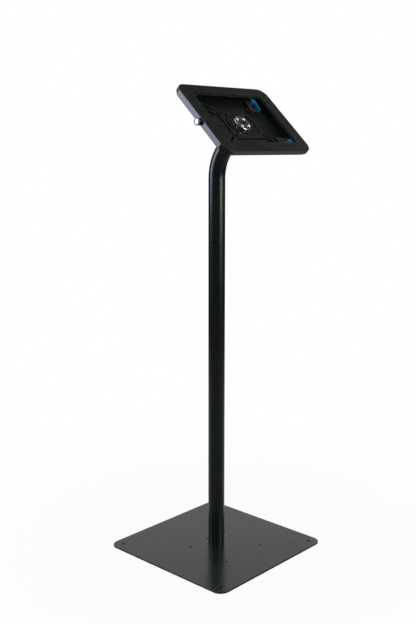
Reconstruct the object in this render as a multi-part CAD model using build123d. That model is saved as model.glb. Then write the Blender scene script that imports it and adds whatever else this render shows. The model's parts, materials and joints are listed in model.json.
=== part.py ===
from build123d import *
import os
from math import asin, cos, degrees, radians, sin, sqrt, tan

# Tablet security kiosk stand, in millimetres.
# The floor is z = 0, the middle of the base plate is x = y = 0, and the window faces +X.
# The pieces of the head are drawn flat and then placed by HEAD: there x runs to the user's right,
# y up the slope, and z out of the window, with z = 0 at the front face of the lid.

# Clearances and fits
OVERRUN = 1.0
PIVOT_FIT = 0.05
SCREW_FIT = 0.1
PLUG_FIT = 0.1
FACE_GAP = 0.1
RUN_GAP = 0.3

# Base plate
BASE_SIDE = 400.0
BASE_CORNER_RADIUS = 26.0
BASE_THICKNESS = 4.0
BASE_EDGE_RADIUS = 0.6
ANCHOR_SPACING_X = 126.0
ANCHOR_SPACING_Y = 132.0
ANCHOR_CENTRE_X = 32.5
ANCHOR_HOLE_DIAMETER = 6.5
TETHER_HOLE_X = -31.5

# Rubber feet and their rivets
FOOT_DIAMETER = 30.0
FOOT_HEIGHT = 2.0
FOOT_INSET = 26.0
FOOT_RIVET_SHANK = 4.0
FOOT_RIVET_HEAD = 9.0
FOOT_RIVET_RISE = 1.6
FOOT_RIVET_FLOOR_GAP = 0.8

# Pole
POLE_DIAMETER = 42.4
POLE_WALL = 2.0
POLE_BEND_RADIUS = 114.0
POLE_CORNER_HEIGHT = 1015.4
HEAD_TILT = 43.5
FACE_FROM_CORNER = 138.8

# Foot plug and its screws
FOOT_PLUG_HEIGHT = 22.0
POLE_SCREW_COUNT = 4
POLE_SCREW_CIRCLE_RADIUS = 11.0
POLE_SCREW_DIAMETER = 6.0
POLE_SCREW_HEAD = 12.0
POLE_SCREW_HEAD_DEPTH = 3.0
POLE_SCREW_LENGTH = 20.0
POLE_SCREW_SOCKET = 4.0
POLE_SCREW_SOCKET_DEPTH = 2.0

# Cable grommet in the back of the pole
GROMMET_HEIGHT = 60.0
GROMMET_FLANGE_DIAMETER = 20.0
GROMMET_NECK_DIAMETER = 15.0
GROMMET_BORE_DIAMETER = 10.0
GROMMET_FLANGE_RISE = 1.0

# Head flange on the pole and the stop pins
FLANGE_DIAMETER = 108.0
FLANGE_THICKNESS = 6.0
FLANGE_BORE = 24.0
WASHER_THICKNESS = 1.0
STOP_PIN_DIAMETER = 6.0
STOP_PIN_EDGE = 5.0
STOP_PIN_RISE = 1.0
SWIVEL_TRAVEL = 90.0

# Swivel ring and its screws
RING_DIAMETER = 49.0
RING_THICKNESS = 4.5
RING_HUB_DIAMETER = 40.0
RING_BORE = 14.0
RING_EDGE = 0.8
RING_SCREW_COUNT = 4
RING_SCREW_CIRCLE_RADIUS = 16.6
RING_SCREW_DIAMETER = 6.0
RING_SCREW_HEAD = 9.5
RING_SCREW_HEAD_HEIGHT = 3.0
RING_SCREW_SOCKET = 4.0
RING_SCREW_SOCKET_DEPTH = 1.8
RING_SCREW_BACK_WALL = 1.0

# Cable bushing in the swivel ring
BUSHING_FLANGE_DIAMETER = 19.0
BUSHING_FLANGE_THICKNESS = 1.0
BUSHING_BORE = 10.0

# Front frame: the lid
LID_WIDTH = 320.0
LID_HEIGHT = 226.0
LID_DEPTH = 12.0
LID_SHEET = 2.0
LID_CORNER_RADIUS = 26.0
LID_EDGE_RADIUS = 1.4
BEZEL_SIDE_WIDTH = 37.0
BEZEL_END_WIDTH = 29.8
WINDOW_CORNER_RADIUS = 8.0

# Window liner and gasket
LINER_SETBACK = 1.0
LINER_SHEET = 1.5
LINER_DEPTH = 3.6
LINER_LIP = 7.0
GASKET_THICKNESS = 1.0
GASKET_WIDTH = 6.0

# Rear shell: the pan
PAN_SIDE_GAP = 2.2
PAN_SHEET = 1.5
PAN_RIM_SHOWN = 6.5
PAN_STEP_DEPTH = 6.0
PAN_LEDGE_SIDE_WIDTH = 13.8
PAN_LEDGE_END_WIDTH = 7.8
PAN_STEP_CORNER = 16.0
PAN_BACK_RADIUS = 1.2
PAN_BEAD_WIDTH = 6.0
PAN_BEAD_RISE = 1.2

# Swivel plate on the floor of the pan
SWIVEL_PLATE_HEIGHT = 96.0
SWIVEL_PLATE_THICKNESS = 3.0
SWIVEL_PLATE_CORNER = 8.0
SWIVEL_PLATE_RIVET_INSET = 9.0
PLATE_RIVET_FLANGE_GAP = 3.85
SWIVEL_PLATE_VENTS = 12
SWIVEL_PLATE_VENT_START = 28.5
SWIVEL_PLATE_VENT_LENGTH = 10.0
SWIVEL_PLATE_VENT_WIDTH = 5.0

# Rivets in the floor of the pan
RIVET_SHANK = 4.0
RIVET_HEAD = 8.0
RIVET_HEAD_RISE = 1.6
RIVET_SUNK_HEAD = 7.2
RIVET_SUNK_DEPTH = 1.6

# Corner rails
RAIL_WIDTH = 24.0
RAIL_HEIGHT = 4.5
RAIL_TOP = 2.0
RAIL_CAVITY_WIDTH = 14.6
RAIL_SLOT_WIDTH = 6.2
RAIL_END_WALL = 8.0
RAIL_PLATE_GAP = 1.2
RAIL_PAN_GAP = 1.0

# Corner holders: the shares say how far each is slid in from the outer end of its travel
HOLDER_SLID_IN_SHARES = {
    "upper_right": 0.63,
    "lower_right": 0.4,
    "upper_left": 0.0,
    "lower_left": 0.0,
}

# Corner pads: the same L four times, turned a quarter from corner to corner, and these
# turns, in degrees, hold the small one that the upper right pad has on its clamp screw
PAD_TURNS = {
    "upper_right": -13.0,
    "lower_right": -90.0,
    "upper_left": 90.0,
    "lower_left": 180.0,
}
PAD_LEG_LENGTH = 41.0
PAD_LEG_WIDTH = 4.5
PAD_HEAD_LENGTH = 14.0
PAD_HEAD_WIDTH = 16.0
PAD_CLAMP_GAP = 0.3
PAD_CORNER_RADIUS = 4.0
PAD_EDGE_RADIUS = 1.2
CARRIAGE_SHELF = 1.1
CARRIAGE_SHELF_WIDTH = 28.0
CARRIAGE_SIDE = 18.0
CARRIAGE_CORNER = 3.0
CARRIAGE_TONGUE_LENGTH = 10.0
NUT_SIDE = 11.0
NUT_THICKNESS = 2.0
CLAMP_SCREW_DIAMETER = 5.0
CLAMP_SCREW_HEAD = 9.8
CLAMP_SCREW_HEAD_DEPTH = 2.7
CLAMP_SCREW_SOCKET = 3.4
CLAMP_SCREW_SOCKET_DEPTH = 1.6

# Lid hinge
HINGE_LENGTH = 150.0
HINGE_KNUCKLES = 5
HINGE_KNUCKLE_DIAMETER = 6.0
HINGE_PIN_DIAMETER = 3.0
HINGE_LEAF = 1.2
HINGE_AXIS_OUT = 3.5
HINGE_AXIS_RISE = 1.5
HINGE_LEAF_REACH = 20.0
HINGE_LID_LEAF_FRONT = 3.5
HINGE_FASTENER_PITCH = 56.0
HINGE_FASTENER_INSET = 13.8
HINGE_SCREW_DIAMETER = 3.0
HINGE_SCREW_HEAD = 6.0
HINGE_SCREW_HEAD_HEIGHT = 1.4

# Lock
LOCK_Y = -5.0
LOCK_HEAD_DIAMETER = 18.0
LOCK_HEAD_HEIGHT = 7.2
LOCK_HEAD_EDGE = 1.6
LOCK_BARREL_DIAMETER = 10.5
LOCK_BARREL_FLATS = 9.6
LOCK_BARREL_LENGTH = 18.0
LOCK_GROOVE = 0.6
PLUG_DIAMETER = 7.0
PLUG_HEAD_DIAMETER = 11.0
PLUG_HEAD_HEIGHT = 1.6
PLUG_HEAD_SINK = 0.3
KEYWAY_WIDTH = 1.2
KEYWAY_HEIGHT = 6.0
KEYWAY_DEPTH = 5.0
PLUG_TANG = 4.6
CLIP_LENGTH = 20.0
CLIP_WIDTH = 10.4
CLIP_THICKNESS = 1.2
CAM_THICKNESS = 2.0
CAM_HUB_DIAMETER = 9.2
CAM_WIDTH = 6.0
CAM_LID_GAP = 1.1
CAM_SCREW_DIAMETER = 2.5
CAM_SCREW_HEAD = 5.5
CAM_SCREW_HEAD_HEIGHT = 1.8
CAM_SCREW_GRIP = 4.0

# Lock strike on the lid
STRIKE_SIDE_GAP = 0.4
STRIKE_BAR = 2.0
STRIKE_LEG = 2.5
STRIKE_SILL = 1.5
STRIKE_CAM_GAP = 0.5

# Places that follow from the sizes above
BASE_TOP = FOOT_HEIGHT + BASE_THICKNESS
POLE_RADIUS = POLE_DIAMETER / 2
POLE_BORE_RADIUS = POLE_RADIUS - POLE_WALL
BEND_TANGENT = POLE_BEND_RADIUS * tan(radians(HEAD_TILT) / 2)
BEND_START = POLE_CORNER_HEIGHT - BEND_TANGENT

WINDOW_WIDTH = LID_WIDTH - 2 * BEZEL_SIDE_WIDTH
WINDOW_HEIGHT = LID_HEIGHT - 2 * BEZEL_END_WIDTH
PAN_WIDTH = LID_WIDTH - 2 * (LID_SHEET + PAN_SIDE_GAP)
PAN_HEIGHT = LID_HEIGHT - 2 * (LID_SHEET + PAN_SIDE_GAP)
PAN_CORNER = LID_CORNER_RADIUS - LID_SHEET - PAN_SIDE_GAP
PAN_FRONT = LID_SHEET + RUN_GAP
PAN_LEDGE_DEPTH = LID_DEPTH + PAN_RIM_SHOWN
PAN_FLOOR_DEPTH = PAN_LEDGE_DEPTH + PAN_STEP_DEPTH
PAN_STEP_WIDTH = PAN_WIDTH - 2 * PAN_LEDGE_SIDE_WIDTH
PAN_STEP_HEIGHT = PAN_HEIGHT - 2 * PAN_LEDGE_END_WIDTH
PAN_LEDGE_INNER = PAN_LEDGE_DEPTH - PAN_SHEET
PAN_FLOOR_INNER = PAN_FLOOR_DEPTH - PAN_SHEET
STEP_INNER_WIDTH = PAN_STEP_WIDTH - 2 * PAN_SHEET
STEP_INNER_HEIGHT = PAN_STEP_HEIGHT - 2 * PAN_SHEET
STEP_INNER_CORNER = PAN_STEP_CORNER - PAN_SHEET

PLATE_RIVET_REACH = FLANGE_DIAMETER / 2 + PLATE_RIVET_FLANGE_GAP + RIVET_HEAD / 2
PLATE_RIVET_Y = SWIVEL_PLATE_HEIGHT / 2 - SWIVEL_PLATE_RIVET_INSET
PLATE_RIVET_X = sqrt(PLATE_RIVET_REACH**2 - PLATE_RIVET_Y**2)
SWIVEL_PLATE_WIDTH = 2 * (PLATE_RIVET_X + SWIVEL_PLATE_RIVET_INSET)
SWIVEL_PLATE_FRONT = PAN_FLOOR_INNER - SWIVEL_PLATE_THICKNESS
RING_BACK = SWIVEL_PLATE_FRONT - WASHER_THICKNESS - FACE_GAP
RING_FRONT = RING_BACK - RING_THICKNESS
FLANGE_FRONT = PAN_FLOOR_DEPTH + FACE_GAP + WASHER_THICKNESS
FLANGE_BACK = FLANGE_FRONT + FLANGE_THICKNESS
HUB_RADIUS = RING_HUB_DIAMETER / 2 - PIVOT_FIT
SWIVEL_BORE_RADIUS = RING_HUB_DIAMETER / 2
STOP_PIN_RADIUS = STOP_PIN_DIAMETER / 2
STOP_PIN_CIRCLE_RADIUS = FLANGE_DIAMETER / 2 - STOP_PIN_EDGE - STOP_PIN_RADIUS
STOP_SLOT_RADIUS = STOP_PIN_RADIUS + RUN_GAP
STOP_PIN_FRONT = SWIVEL_PLATE_FRONT - STOP_PIN_RISE

RAIL_ANGLE = degrees(asin(WINDOW_HEIGHT / sqrt(WINDOW_WIDTH**2 + WINDOW_HEIGHT**2)))
RAIL_FRONT = PAN_FLOOR_INNER - RAIL_HEIGHT
RAIL_COS = cos(radians(RAIL_ANGLE))
RAIL_SIN = sin(radians(RAIL_ANGLE))
RAIL_START = (SWIVEL_PLATE_WIDTH * RAIL_COS + SWIVEL_PLATE_HEIGHT * RAIL_SIN) / 2 + RAIL_PLATE_GAP
RAIL_END = min(
    ((STEP_INNER_WIDTH - RAIL_WIDTH * RAIL_SIN) / 2 - RAIL_PAN_GAP) / RAIL_COS,
    ((STEP_INNER_HEIGHT - RAIL_WIDTH * RAIL_COS) / 2 - RAIL_PAN_GAP) / RAIL_SIN,
)
RAIL_CAVITY_START = RAIL_START + RAIL_END_WALL
RAIL_CAVITY_END = RAIL_END - RAIL_END_WALL
RAIL_RIVETS = (RAIL_START + RAIL_END_WALL / 2, RAIL_END - RAIL_END_WALL / 2)
RAIL_ANGLES = {
    "upper_right": RAIL_ANGLE,
    "lower_right": -RAIL_ANGLE,
    "upper_left": 180 - RAIL_ANGLE,
    "lower_left": 180 + RAIL_ANGLE,
}
HOLDER_INNER_REACH = RAIL_CAVITY_START + NUT_SIDE / 2 + RUN_GAP
HOLDER_OUTER_REACH = RAIL_CAVITY_END - NUT_SIDE / 2 - RUN_GAP
HOLDER_TRAVEL = HOLDER_OUTER_REACH - HOLDER_INNER_REACH
LINER_BACK = LID_SHEET + LINER_DEPTH
PAD_TOP_DEPTH = LINER_BACK + GASKET_THICKNESS + RUN_GAP
SHELF_BACK = PAN_LEDGE_INNER - RUN_GAP
SHELF_FRONT = SHELF_BACK - CARRIAGE_SHELF
PAD_HEIGHT = SHELF_FRONT - PAD_TOP_DEPTH
CARRIAGE_BACK = RAIL_FRONT - FACE_GAP
PAD_INNER = CLAMP_SCREW_HEAD / 2 + PAD_CLAMP_GAP
PAD_RIGHT = PAD_INNER + PAD_LEG_WIDTH
PAD_TOP = PAD_INNER + PAD_HEAD_WIDTH
PAD_LEG_END = PAD_TOP - PAD_LEG_LENGTH
NUT_FRONT = RAIL_FRONT + RAIL_TOP + (RAIL_HEIGHT - RAIL_TOP - NUT_THICKNESS) / 2

LINER_WIDTH = WINDOW_WIDTH + 2 * LINER_SETBACK
LINER_HEIGHT = WINDOW_HEIGHT + 2 * LINER_SETBACK
LINER_CORNER = WINDOW_CORNER_RADIUS + LINER_SETBACK

HINGE_X = LID_WIDTH / 2 + HINGE_AXIS_OUT
HINGE_DEPTH = PAN_LEDGE_DEPTH - HINGE_AXIS_RISE
KNUCKLE_RADIUS = HINGE_KNUCKLE_DIAMETER / 2
KNUCKLE_PITCH = HINGE_LENGTH / HINGE_KNUCKLES
KNUCKLE_LENGTH = KNUCKLE_PITCH - RUN_GAP
HINGE_LID_LEAF_BACK = HINGE_DEPTH - KNUCKLE_RADIUS - RUN_GAP
HINGE_SCREW_DEPTH = (HINGE_LID_LEAF_FRONT + HINGE_LID_LEAF_BACK) / 2

STRIKE_REACH = CAM_WIDTH / 2 + STRIKE_CAM_GAP + STRIKE_SILL
LOCK_REACH = max(CLIP_WIDTH / 2, LOCK_BARREL_DIAMETER / 2, STRIKE_REACH)
LOCK_DEPTH = PAN_LEDGE_INNER - RUN_GAP - LOCK_REACH
CAM_REACH = LOCK_DEPTH - LID_SHEET - CAM_LID_GAP
LOCK_FACE_X = -LID_WIDTH / 2 - RUN_GAP
LOCK_OUTER_X = LOCK_FACE_X - LOCK_HEAD_HEIGHT
PAN_WALL_X = -PAN_WIDTH / 2
BARREL_END_X = LOCK_FACE_X + LOCK_BARREL_LENGTH
CLIP_X = PAN_WALL_X + PAN_SHEET
CAM_X = BARREL_END_X + RUN_GAP
CAM_MIDDLE_X = CAM_X + CAM_THICKNESS / 2
CAM_BACK_X = CAM_X + CAM_THICKNESS

# Frame of the head: x to the user's right, y up the slope, z out of the window
HEAD_NORMAL = Vector(sin(radians(HEAD_TILT)), 0, cos(radians(HEAD_TILT)))
HEAD_ORIGIN = Vector(0, 0, POLE_CORNER_HEIGHT) + HEAD_NORMAL * FACE_FROM_CORNER
HEAD = Plane(origin=HEAD_ORIGIN, x_dir=(0, 1, 0), z_dir=HEAD_NORMAL).location


def write(name, *solids):
    """Write one node, made of one solid or of a group of separate solids."""
    shape = solids[0] if len(solids) == 1 else Compound(label=name, children=list(solids))
    shape.label = name
    export_step(shape, f"parts/{name}.step")


def write_head(name, *solids):
    """Write one node of the head, drawn flat and placed on the pole."""
    write(name, *[HEAD * solid for solid in solids])


def disc(radius, bottom, top):
    """Round bar along z between two heights."""
    return Pos(0, 0, bottom) * extrude(Circle(radius), top - bottom)


def ring(outer, inner, bottom, top):
    """Round bar along z with a bore."""
    return Pos(0, 0, bottom) * extrude(Circle(outer) - Circle(inner), top - bottom)


def slab(width, height, corner, front, back):
    """Plate with rounded corners between two depths below the lid's face."""
    return Pos(0, 0, -back) * extrude(RectangleRounded(width, height, corner), back - front)


def frame(outer, inner, front, back):
    """Plate with a window, given by two (width, height, corner) sizes."""
    solid = slab(*outer, front, back)
    return solid - slab(*inner, front - OVERRUN, back + OVERRUN)


def box_between(low, high):
    """Box between two opposite corners."""
    size = [b - a for a, b in zip(low, high)]
    middle = [(a + b) / 2 for a, b in zip(low, high)]
    return Pos(*middle) * Box(*size)


def sunk_screw(shank, head, head_depth, length, socket, socket_depth):
    """Countersunk screw along -z with its flat head at z = 0."""
    body = disc(shank / 2, -length, 0)
    body += Pos(0, 0, -head_depth / 2) * Cone(shank / 2, head / 2, head_depth)
    cut = extrude(RegularPolygon(socket / 2, 6), -socket_depth)
    return body - cut


def button_screw(shank, head, head_height, length, socket, socket_depth):
    """Button-head screw along -z whose head sits on z = 0."""
    cap = disc(head / 2, 0, head_height)
    cap = fillet(cap.edges().group_by(Axis.Z)[-1], head_height / 2)
    cut = Pos(0, 0, head_height) * extrude(RegularPolygon(socket / 2, 6), -socket_depth)
    return disc(shank / 2, -length, 0) + cap - cut


def anchor_places():
    """Middles of the four anchor holes."""
    half_x = ANCHOR_SPACING_X / 2
    half_y = ANCHOR_SPACING_Y / 2
    return [(ANCHOR_CENTRE_X + i * half_x, j * half_y) for i in (-1, 1) for j in (-1, 1)]


def foot_places():
    """Middles of the four feet."""
    reach = BASE_SIDE / 2 - FOOT_INSET
    return [(i * reach, j * reach) for i in (-1, 1) for j in (-1, 1)]


def base_plate():
    """Square steel plate with its anchor, tether, foot and pole holes."""
    plate = extrude(RectangleRounded(BASE_SIDE, BASE_SIDE, BASE_CORNER_RADIUS), BASE_THICKNESS)
    rims = plate.edges().group_by(Axis.Z)
    plate = fillet(rims[-1] + rims[0], BASE_EDGE_RADIUS)
    plate = Pos(0, 0, FOOT_HEIGHT) * plate
    low = FOOT_HEIGHT - OVERRUN
    high = BASE_TOP + OVERRUN
    for x, y in anchor_places() + [(TETHER_HOLE_X, 0)]:
        plate -= Pos(x, y, 0) * disc(ANCHOR_HOLE_DIAMETER / 2, low, high)
    for x, y in foot_places():
        plate -= Pos(x, y, 0) * disc(FOOT_RIVET_SHANK / 2 + SCREW_FIT, low, high)
    for place in PolarLocations(POLE_SCREW_CIRCLE_RADIUS, POLE_SCREW_COUNT):
        plate -= place * disc(POLE_SCREW_DIAMETER / 2 + SCREW_FIT, low, high)
        seat = Cone(POLE_SCREW_HEAD / 2, POLE_SCREW_DIAMETER / 2, POLE_SCREW_HEAD_DEPTH)
        plate -= place * Pos(0, 0, FOOT_HEIGHT + POLE_SCREW_HEAD_DEPTH / 2) * seat
    return plate


def rubber_feet():
    """Four thin round feet, each with a blind hole for its rivet."""
    foot = disc(FOOT_DIAMETER / 2, 0, FOOT_HEIGHT)
    foot -= disc(FOOT_RIVET_SHANK / 2, FOOT_RIVET_FLOOR_GAP, FOOT_HEIGHT + OVERRUN)
    return [Pos(x, y, 0) * foot for x, y in foot_places()]


def foot_rivets():
    """Four domed rivets that hold the feet to the plate."""
    dome_radius = (FOOT_RIVET_HEAD**2 / 4 + FOOT_RIVET_RISE**2) / (2 * FOOT_RIVET_RISE)
    dome = Pos(0, 0, BASE_TOP + FOOT_RIVET_RISE - dome_radius) * Sphere(dome_radius)
    head = dome & disc(FOOT_RIVET_HEAD, BASE_TOP, BASE_TOP + FOOT_RIVET_RISE + OVERRUN)
    rivet = head + disc(FOOT_RIVET_SHANK / 2, FOOT_RIVET_FLOOR_GAP, BASE_TOP)
    return [Pos(x, y, 0) * rivet for x, y in foot_places()]


def tube_section(radius_out, radius_in, bend_angle, straight_end):
    """Bent round tube: up from the base, round the bend and straight on to the flange."""
    section = Circle(radius_out) - Circle(radius_in) if radius_in else Circle(radius_out)
    lower = Pos(0, 0, BASE_TOP) * extrude(section, BEND_START - BASE_TOP)
    axis = Axis((POLE_BEND_RADIUS, 0, BEND_START), (0, 1, 0))
    bend = revolve(Pos(0, 0, BEND_START) * section, axis, bend_angle)
    upper = Pos(0, 0, -FLANGE_BACK - straight_end) * extrude(section, straight_end)
    return lower + bend + HEAD * upper


def pole_tube():
    """Steel tube with a hole for the cable grommet low on its back."""
    straight_end = FACE_FROM_CORNER - BEND_TANGENT - FLANGE_BACK
    tube = tube_section(POLE_RADIUS, POLE_BORE_RADIUS, HEAD_TILT, straight_end)
    hole = extrude(Circle(GROMMET_NECK_DIAMETER / 2 + SCREW_FIT), POLE_RADIUS + OVERRUN)
    return tube - Pos(0, 0, GROMMET_HEIGHT) * Rot(0, -90, 0) * hole


def foot_plug():
    """Steel plug welded into the tube's lower end, tapped for the pole screws."""
    plug = disc(POLE_BORE_RADIUS - SCREW_FIT, BASE_TOP, BASE_TOP + FOOT_PLUG_HEIGHT)
    for place in PolarLocations(POLE_SCREW_CIRCLE_RADIUS, POLE_SCREW_COUNT):
        plug -= place * disc(POLE_SCREW_DIAMETER / 2, 0, BASE_TOP + FOOT_PLUG_HEIGHT + OVERRUN)
    return plug


def pole_screws():
    """Four countersunk screws up through the base plate into the plug."""
    screw = sunk_screw(
        POLE_SCREW_DIAMETER,
        POLE_SCREW_HEAD,
        POLE_SCREW_HEAD_DEPTH,
        POLE_SCREW_LENGTH,
        POLE_SCREW_SOCKET,
        POLE_SCREW_SOCKET_DEPTH,
    )
    screw = Pos(0, 0, FOOT_HEIGHT) * Rot(180, 0, 0) * screw
    return [place * screw for place in PolarLocations(POLE_SCREW_CIRCLE_RADIUS, POLE_SCREW_COUNT)]


def cable_grommet():
    """Rubber grommet where the cable leaves the pole, shaped to the tube."""
    reach = POLE_RADIUS + GROMMET_FLANGE_RISE
    tube = disc(POLE_RADIUS, -GROMMET_FLANGE_DIAMETER, GROMMET_FLANGE_DIAMETER)
    core = disc(POLE_BORE_RADIUS, -GROMMET_FLANGE_DIAMETER, GROMMET_FLANGE_DIAMETER)
    flange = Rot(0, -90, 0) * extrude(Circle(GROMMET_FLANGE_DIAMETER / 2), reach) - tube
    neck = Rot(0, -90, 0) * extrude(Circle(GROMMET_NECK_DIAMETER / 2), reach) - core
    bore = Rot(0, -90, 0) * extrude(Circle(GROMMET_BORE_DIAMETER / 2), reach + OVERRUN)
    return Pos(0, 0, GROMMET_HEIGHT) * (flange + neck - bore)


def stop_pin_places():
    """Two opposite places at the end of the curved slots, half the travel up from level."""
    angle = SWIVEL_TRAVEL / 2
    return [Rot(0, 0, angle + turn) * Pos(STOP_PIN_CIRCLE_RADIUS, 0, 0) for turn in (0, 180)]


def ring_screw_places():
    """Middles of the four screws of the swivel ring."""
    return PolarLocations(RING_SCREW_CIRCLE_RADIUS, RING_SCREW_COUNT, 180 / RING_SCREW_COUNT)


def head_flange():
    """Round flange welded on the pole, tapped for the ring screws, bored for the pins."""
    flange = ring(FLANGE_DIAMETER / 2, FLANGE_BORE / 2, -FLANGE_BACK, -FLANGE_FRONT)
    for place in ring_screw_places():
        flange -= place * disc(RING_SCREW_DIAMETER / 2, -FLANGE_BACK - OVERRUN, 0)
    for place in stop_pin_places():
        flange -= place * disc(STOP_PIN_RADIUS, -FLANGE_BACK - OVERRUN, 0)
    return flange


def stop_pins():
    """Two pins in the flange that run in the curved slots of the swivel plate."""
    pin = disc(STOP_PIN_RADIUS, -FLANGE_BACK, -STOP_PIN_FRONT)
    return [place * pin for place in stop_pin_places()]


def rear_washer():
    """Friction washer between the flange and the back of the pan."""
    washer = ring(
        FLANGE_DIAMETER / 2,
        SWIVEL_BORE_RADIUS + RUN_GAP,
        -FLANGE_FRONT,
        -FLANGE_FRONT + WASHER_THICKNESS,
    )
    for place in stop_pin_places():
        washer -= place * disc(STOP_PIN_RADIUS + SCREW_FIT, -FLANGE_BACK, 0)
    return washer


def front_washer():
    """Friction washer between the swivel ring and the swivel plate."""
    back = -RING_BACK - WASHER_THICKNESS
    return ring(RING_DIAMETER / 2, SWIVEL_BORE_RADIUS + RUN_GAP, back, -RING_BACK)


def swivel_ring():
    """Bright ring that keeps the head on the pole: the head turns on its hub."""
    body = disc(RING_DIAMETER / 2, -RING_BACK, -RING_FRONT)
    body = chamfer(body.edges().group_by(Axis.Z)[-1], RING_EDGE)
    body += disc(HUB_RADIUS, -FLANGE_FRONT, -RING_BACK)
    body -= disc(RING_BORE / 2, -FLANGE_FRONT - OVERRUN, 0)
    for place in ring_screw_places():
        body -= place * disc(RING_SCREW_DIAMETER / 2 + SCREW_FIT, -FLANGE_FRONT - OVERRUN, 0)
    return body


def ring_screws():
    """Four button-head screws through the ring into the flange."""
    screw = button_screw(
        RING_SCREW_DIAMETER,
        RING_SCREW_HEAD,
        RING_SCREW_HEAD_HEIGHT,
        FLANGE_BACK - RING_FRONT - RING_SCREW_BACK_WALL,
        RING_SCREW_SOCKET,
        RING_SCREW_SOCKET_DEPTH,
    )
    screw = Pos(0, 0, -RING_FRONT) * screw
    return [place * screw for place in ring_screw_places()]


def cable_bushing():
    """Rubber bushing in the bore of the swivel ring."""
    front = -RING_FRONT
    body = disc(BUSHING_FLANGE_DIAMETER / 2, front, front + BUSHING_FLANGE_THICKNESS)
    body += disc(RING_BORE / 2, -FLANGE_FRONT, front)
    return body - disc(BUSHING_BORE / 2, -FLANGE_FRONT - OVERRUN, 0)


def front_frame():
    """Sheet-metal lid: a plate with a window and a rim that wraps the pan."""
    lid = slab(LID_WIDTH, LID_HEIGHT, LID_CORNER_RADIUS, 0, LID_DEPTH)
    lid = fillet(lid.edges().group_by(Axis.Z)[-1], LID_EDGE_RADIUS)
    hollow = (LID_WIDTH - 2 * LID_SHEET, LID_HEIGHT - 2 * LID_SHEET, LID_CORNER_RADIUS - LID_SHEET)
    lid -= slab(*hollow, LID_SHEET, LID_DEPTH + OVERRUN)
    window = slab(WINDOW_WIDTH, WINDOW_HEIGHT, WINDOW_CORNER_RADIUS, -OVERRUN, LID_DEPTH)
    lid -= window
    notch_radius = LOCK_BARREL_DIAMETER / 2 + RUN_GAP
    notch = Rot(0, 90, 0) * Cylinder(notch_radius, 4 * LID_SHEET)
    lid -= Pos(-LID_WIDTH / 2, LOCK_Y, -LOCK_DEPTH) * notch
    lid -= box_between(
        (-LID_WIDTH / 2 - OVERRUN, LOCK_Y - notch_radius, -LID_DEPTH - OVERRUN),
        (-LID_WIDTH / 2 + LID_SHEET + OVERRUN, LOCK_Y + notch_radius, -LOCK_DEPTH),
    )
    for place in lid_screw_places():
        lid -= place * disc(HINGE_SCREW_DIAMETER / 2, -LID_SHEET - 2 * OVERRUN, OVERRUN)
    return lid


def window_liner():
    """Rim that runs down from the window, with a lip at each end."""
    outer = (LINER_WIDTH + 2 * LINER_SHEET, LINER_HEIGHT + 2 * LINER_SHEET, LINER_CORNER + LINER_SHEET)
    inner = (LINER_WIDTH, LINER_HEIGHT, LINER_CORNER)
    lip = (LINER_WIDTH + 2 * LINER_LIP, LINER_HEIGHT + 2 * LINER_LIP, LINER_CORNER + LINER_LIP)
    liner = frame(outer, inner, LID_SHEET, LINER_BACK)
    liner += frame(lip, inner, LID_SHEET, LID_SHEET + LINER_SHEET)
    return liner + frame(lip, inner, LINER_BACK - LINER_SHEET, LINER_BACK)


def window_gasket():
    """Foam strip round the liner's back lip, for the tablet's face."""
    outer = (LINER_WIDTH + 2 * GASKET_WIDTH, LINER_HEIGHT + 2 * GASKET_WIDTH, LINER_CORNER + GASKET_WIDTH)
    inner = (LINER_WIDTH, LINER_HEIGHT, LINER_CORNER)
    return frame(outer, inner, LINER_BACK, LINER_BACK + GASKET_THICKNESS)


def plate_rivet_places():
    """Middles of the four rivets of the swivel plate."""
    signs = (-1, 1)
    return [Pos(i * PLATE_RIVET_X, j * PLATE_RIVET_Y, 0) for i in signs for j in signs]


def rail_places():
    """Turned frames of the four corner rails: x runs out along the rail."""
    return {name: Rot(0, 0, angle) for name, angle in RAIL_ANGLES.items()}


def stop_slots(front, back):
    """Cutter for the two curved slots of the stop pins."""
    half = SWIVEL_TRAVEL / 2
    arc = CenterArc((0, 0), STOP_PIN_CIRCLE_RADIUS, -half, SWIVEL_TRAVEL)
    band = ring(
        STOP_PIN_CIRCLE_RADIUS + STOP_SLOT_RADIUS,
        STOP_PIN_CIRCLE_RADIUS - STOP_SLOT_RADIUS,
        -back,
        -front,
    )
    wedge = Face(Wire([Line((0, 0), arc @ 0), arc, Line(arc @ 1, (0, 0))]))
    wide = extrude(scale(wedge, 2), 2 * (back - front), both=True)
    slot = band & Pos(0, 0, -front) * wide
    for angle in (-half, half):
        slot += Rot(0, 0, angle) * Pos(STOP_PIN_CIRCLE_RADIUS, 0, 0) * disc(STOP_SLOT_RADIUS, -back, -front)
    return [slot, Rot(0, 0, 180) * slot]


def floor_beads():
    """Raised beads of the pan's floor, out from each side of the swivel plate."""
    beads = []
    sides = [(0, SWIVEL_PLATE_WIDTH / 2, STEP_INNER_WIDTH / 2)]
    sides += [(90, SWIVEL_PLATE_HEIGHT / 2, STEP_INNER_HEIGHT / 2)]
    for turn, plate_edge, floor_edge in sides:
        length = (floor_edge - plate_edge) / 2
        end = plate_edge + PAN_BEAD_WIDTH / 2 + length
        bead = SlotOverall(length + PAN_BEAD_WIDTH, PAN_BEAD_WIDTH)
        bar = Pos((plate_edge + PAN_BEAD_WIDTH / 2 + end) / 2, 0, -PAN_FLOOR_INNER)
        bar = bar * extrude(bead, PAN_BEAD_RISE)
        beads += [Rot(0, 0, turn) * bar, Rot(0, 0, turn + 180) * bar]
    return beads


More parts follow.
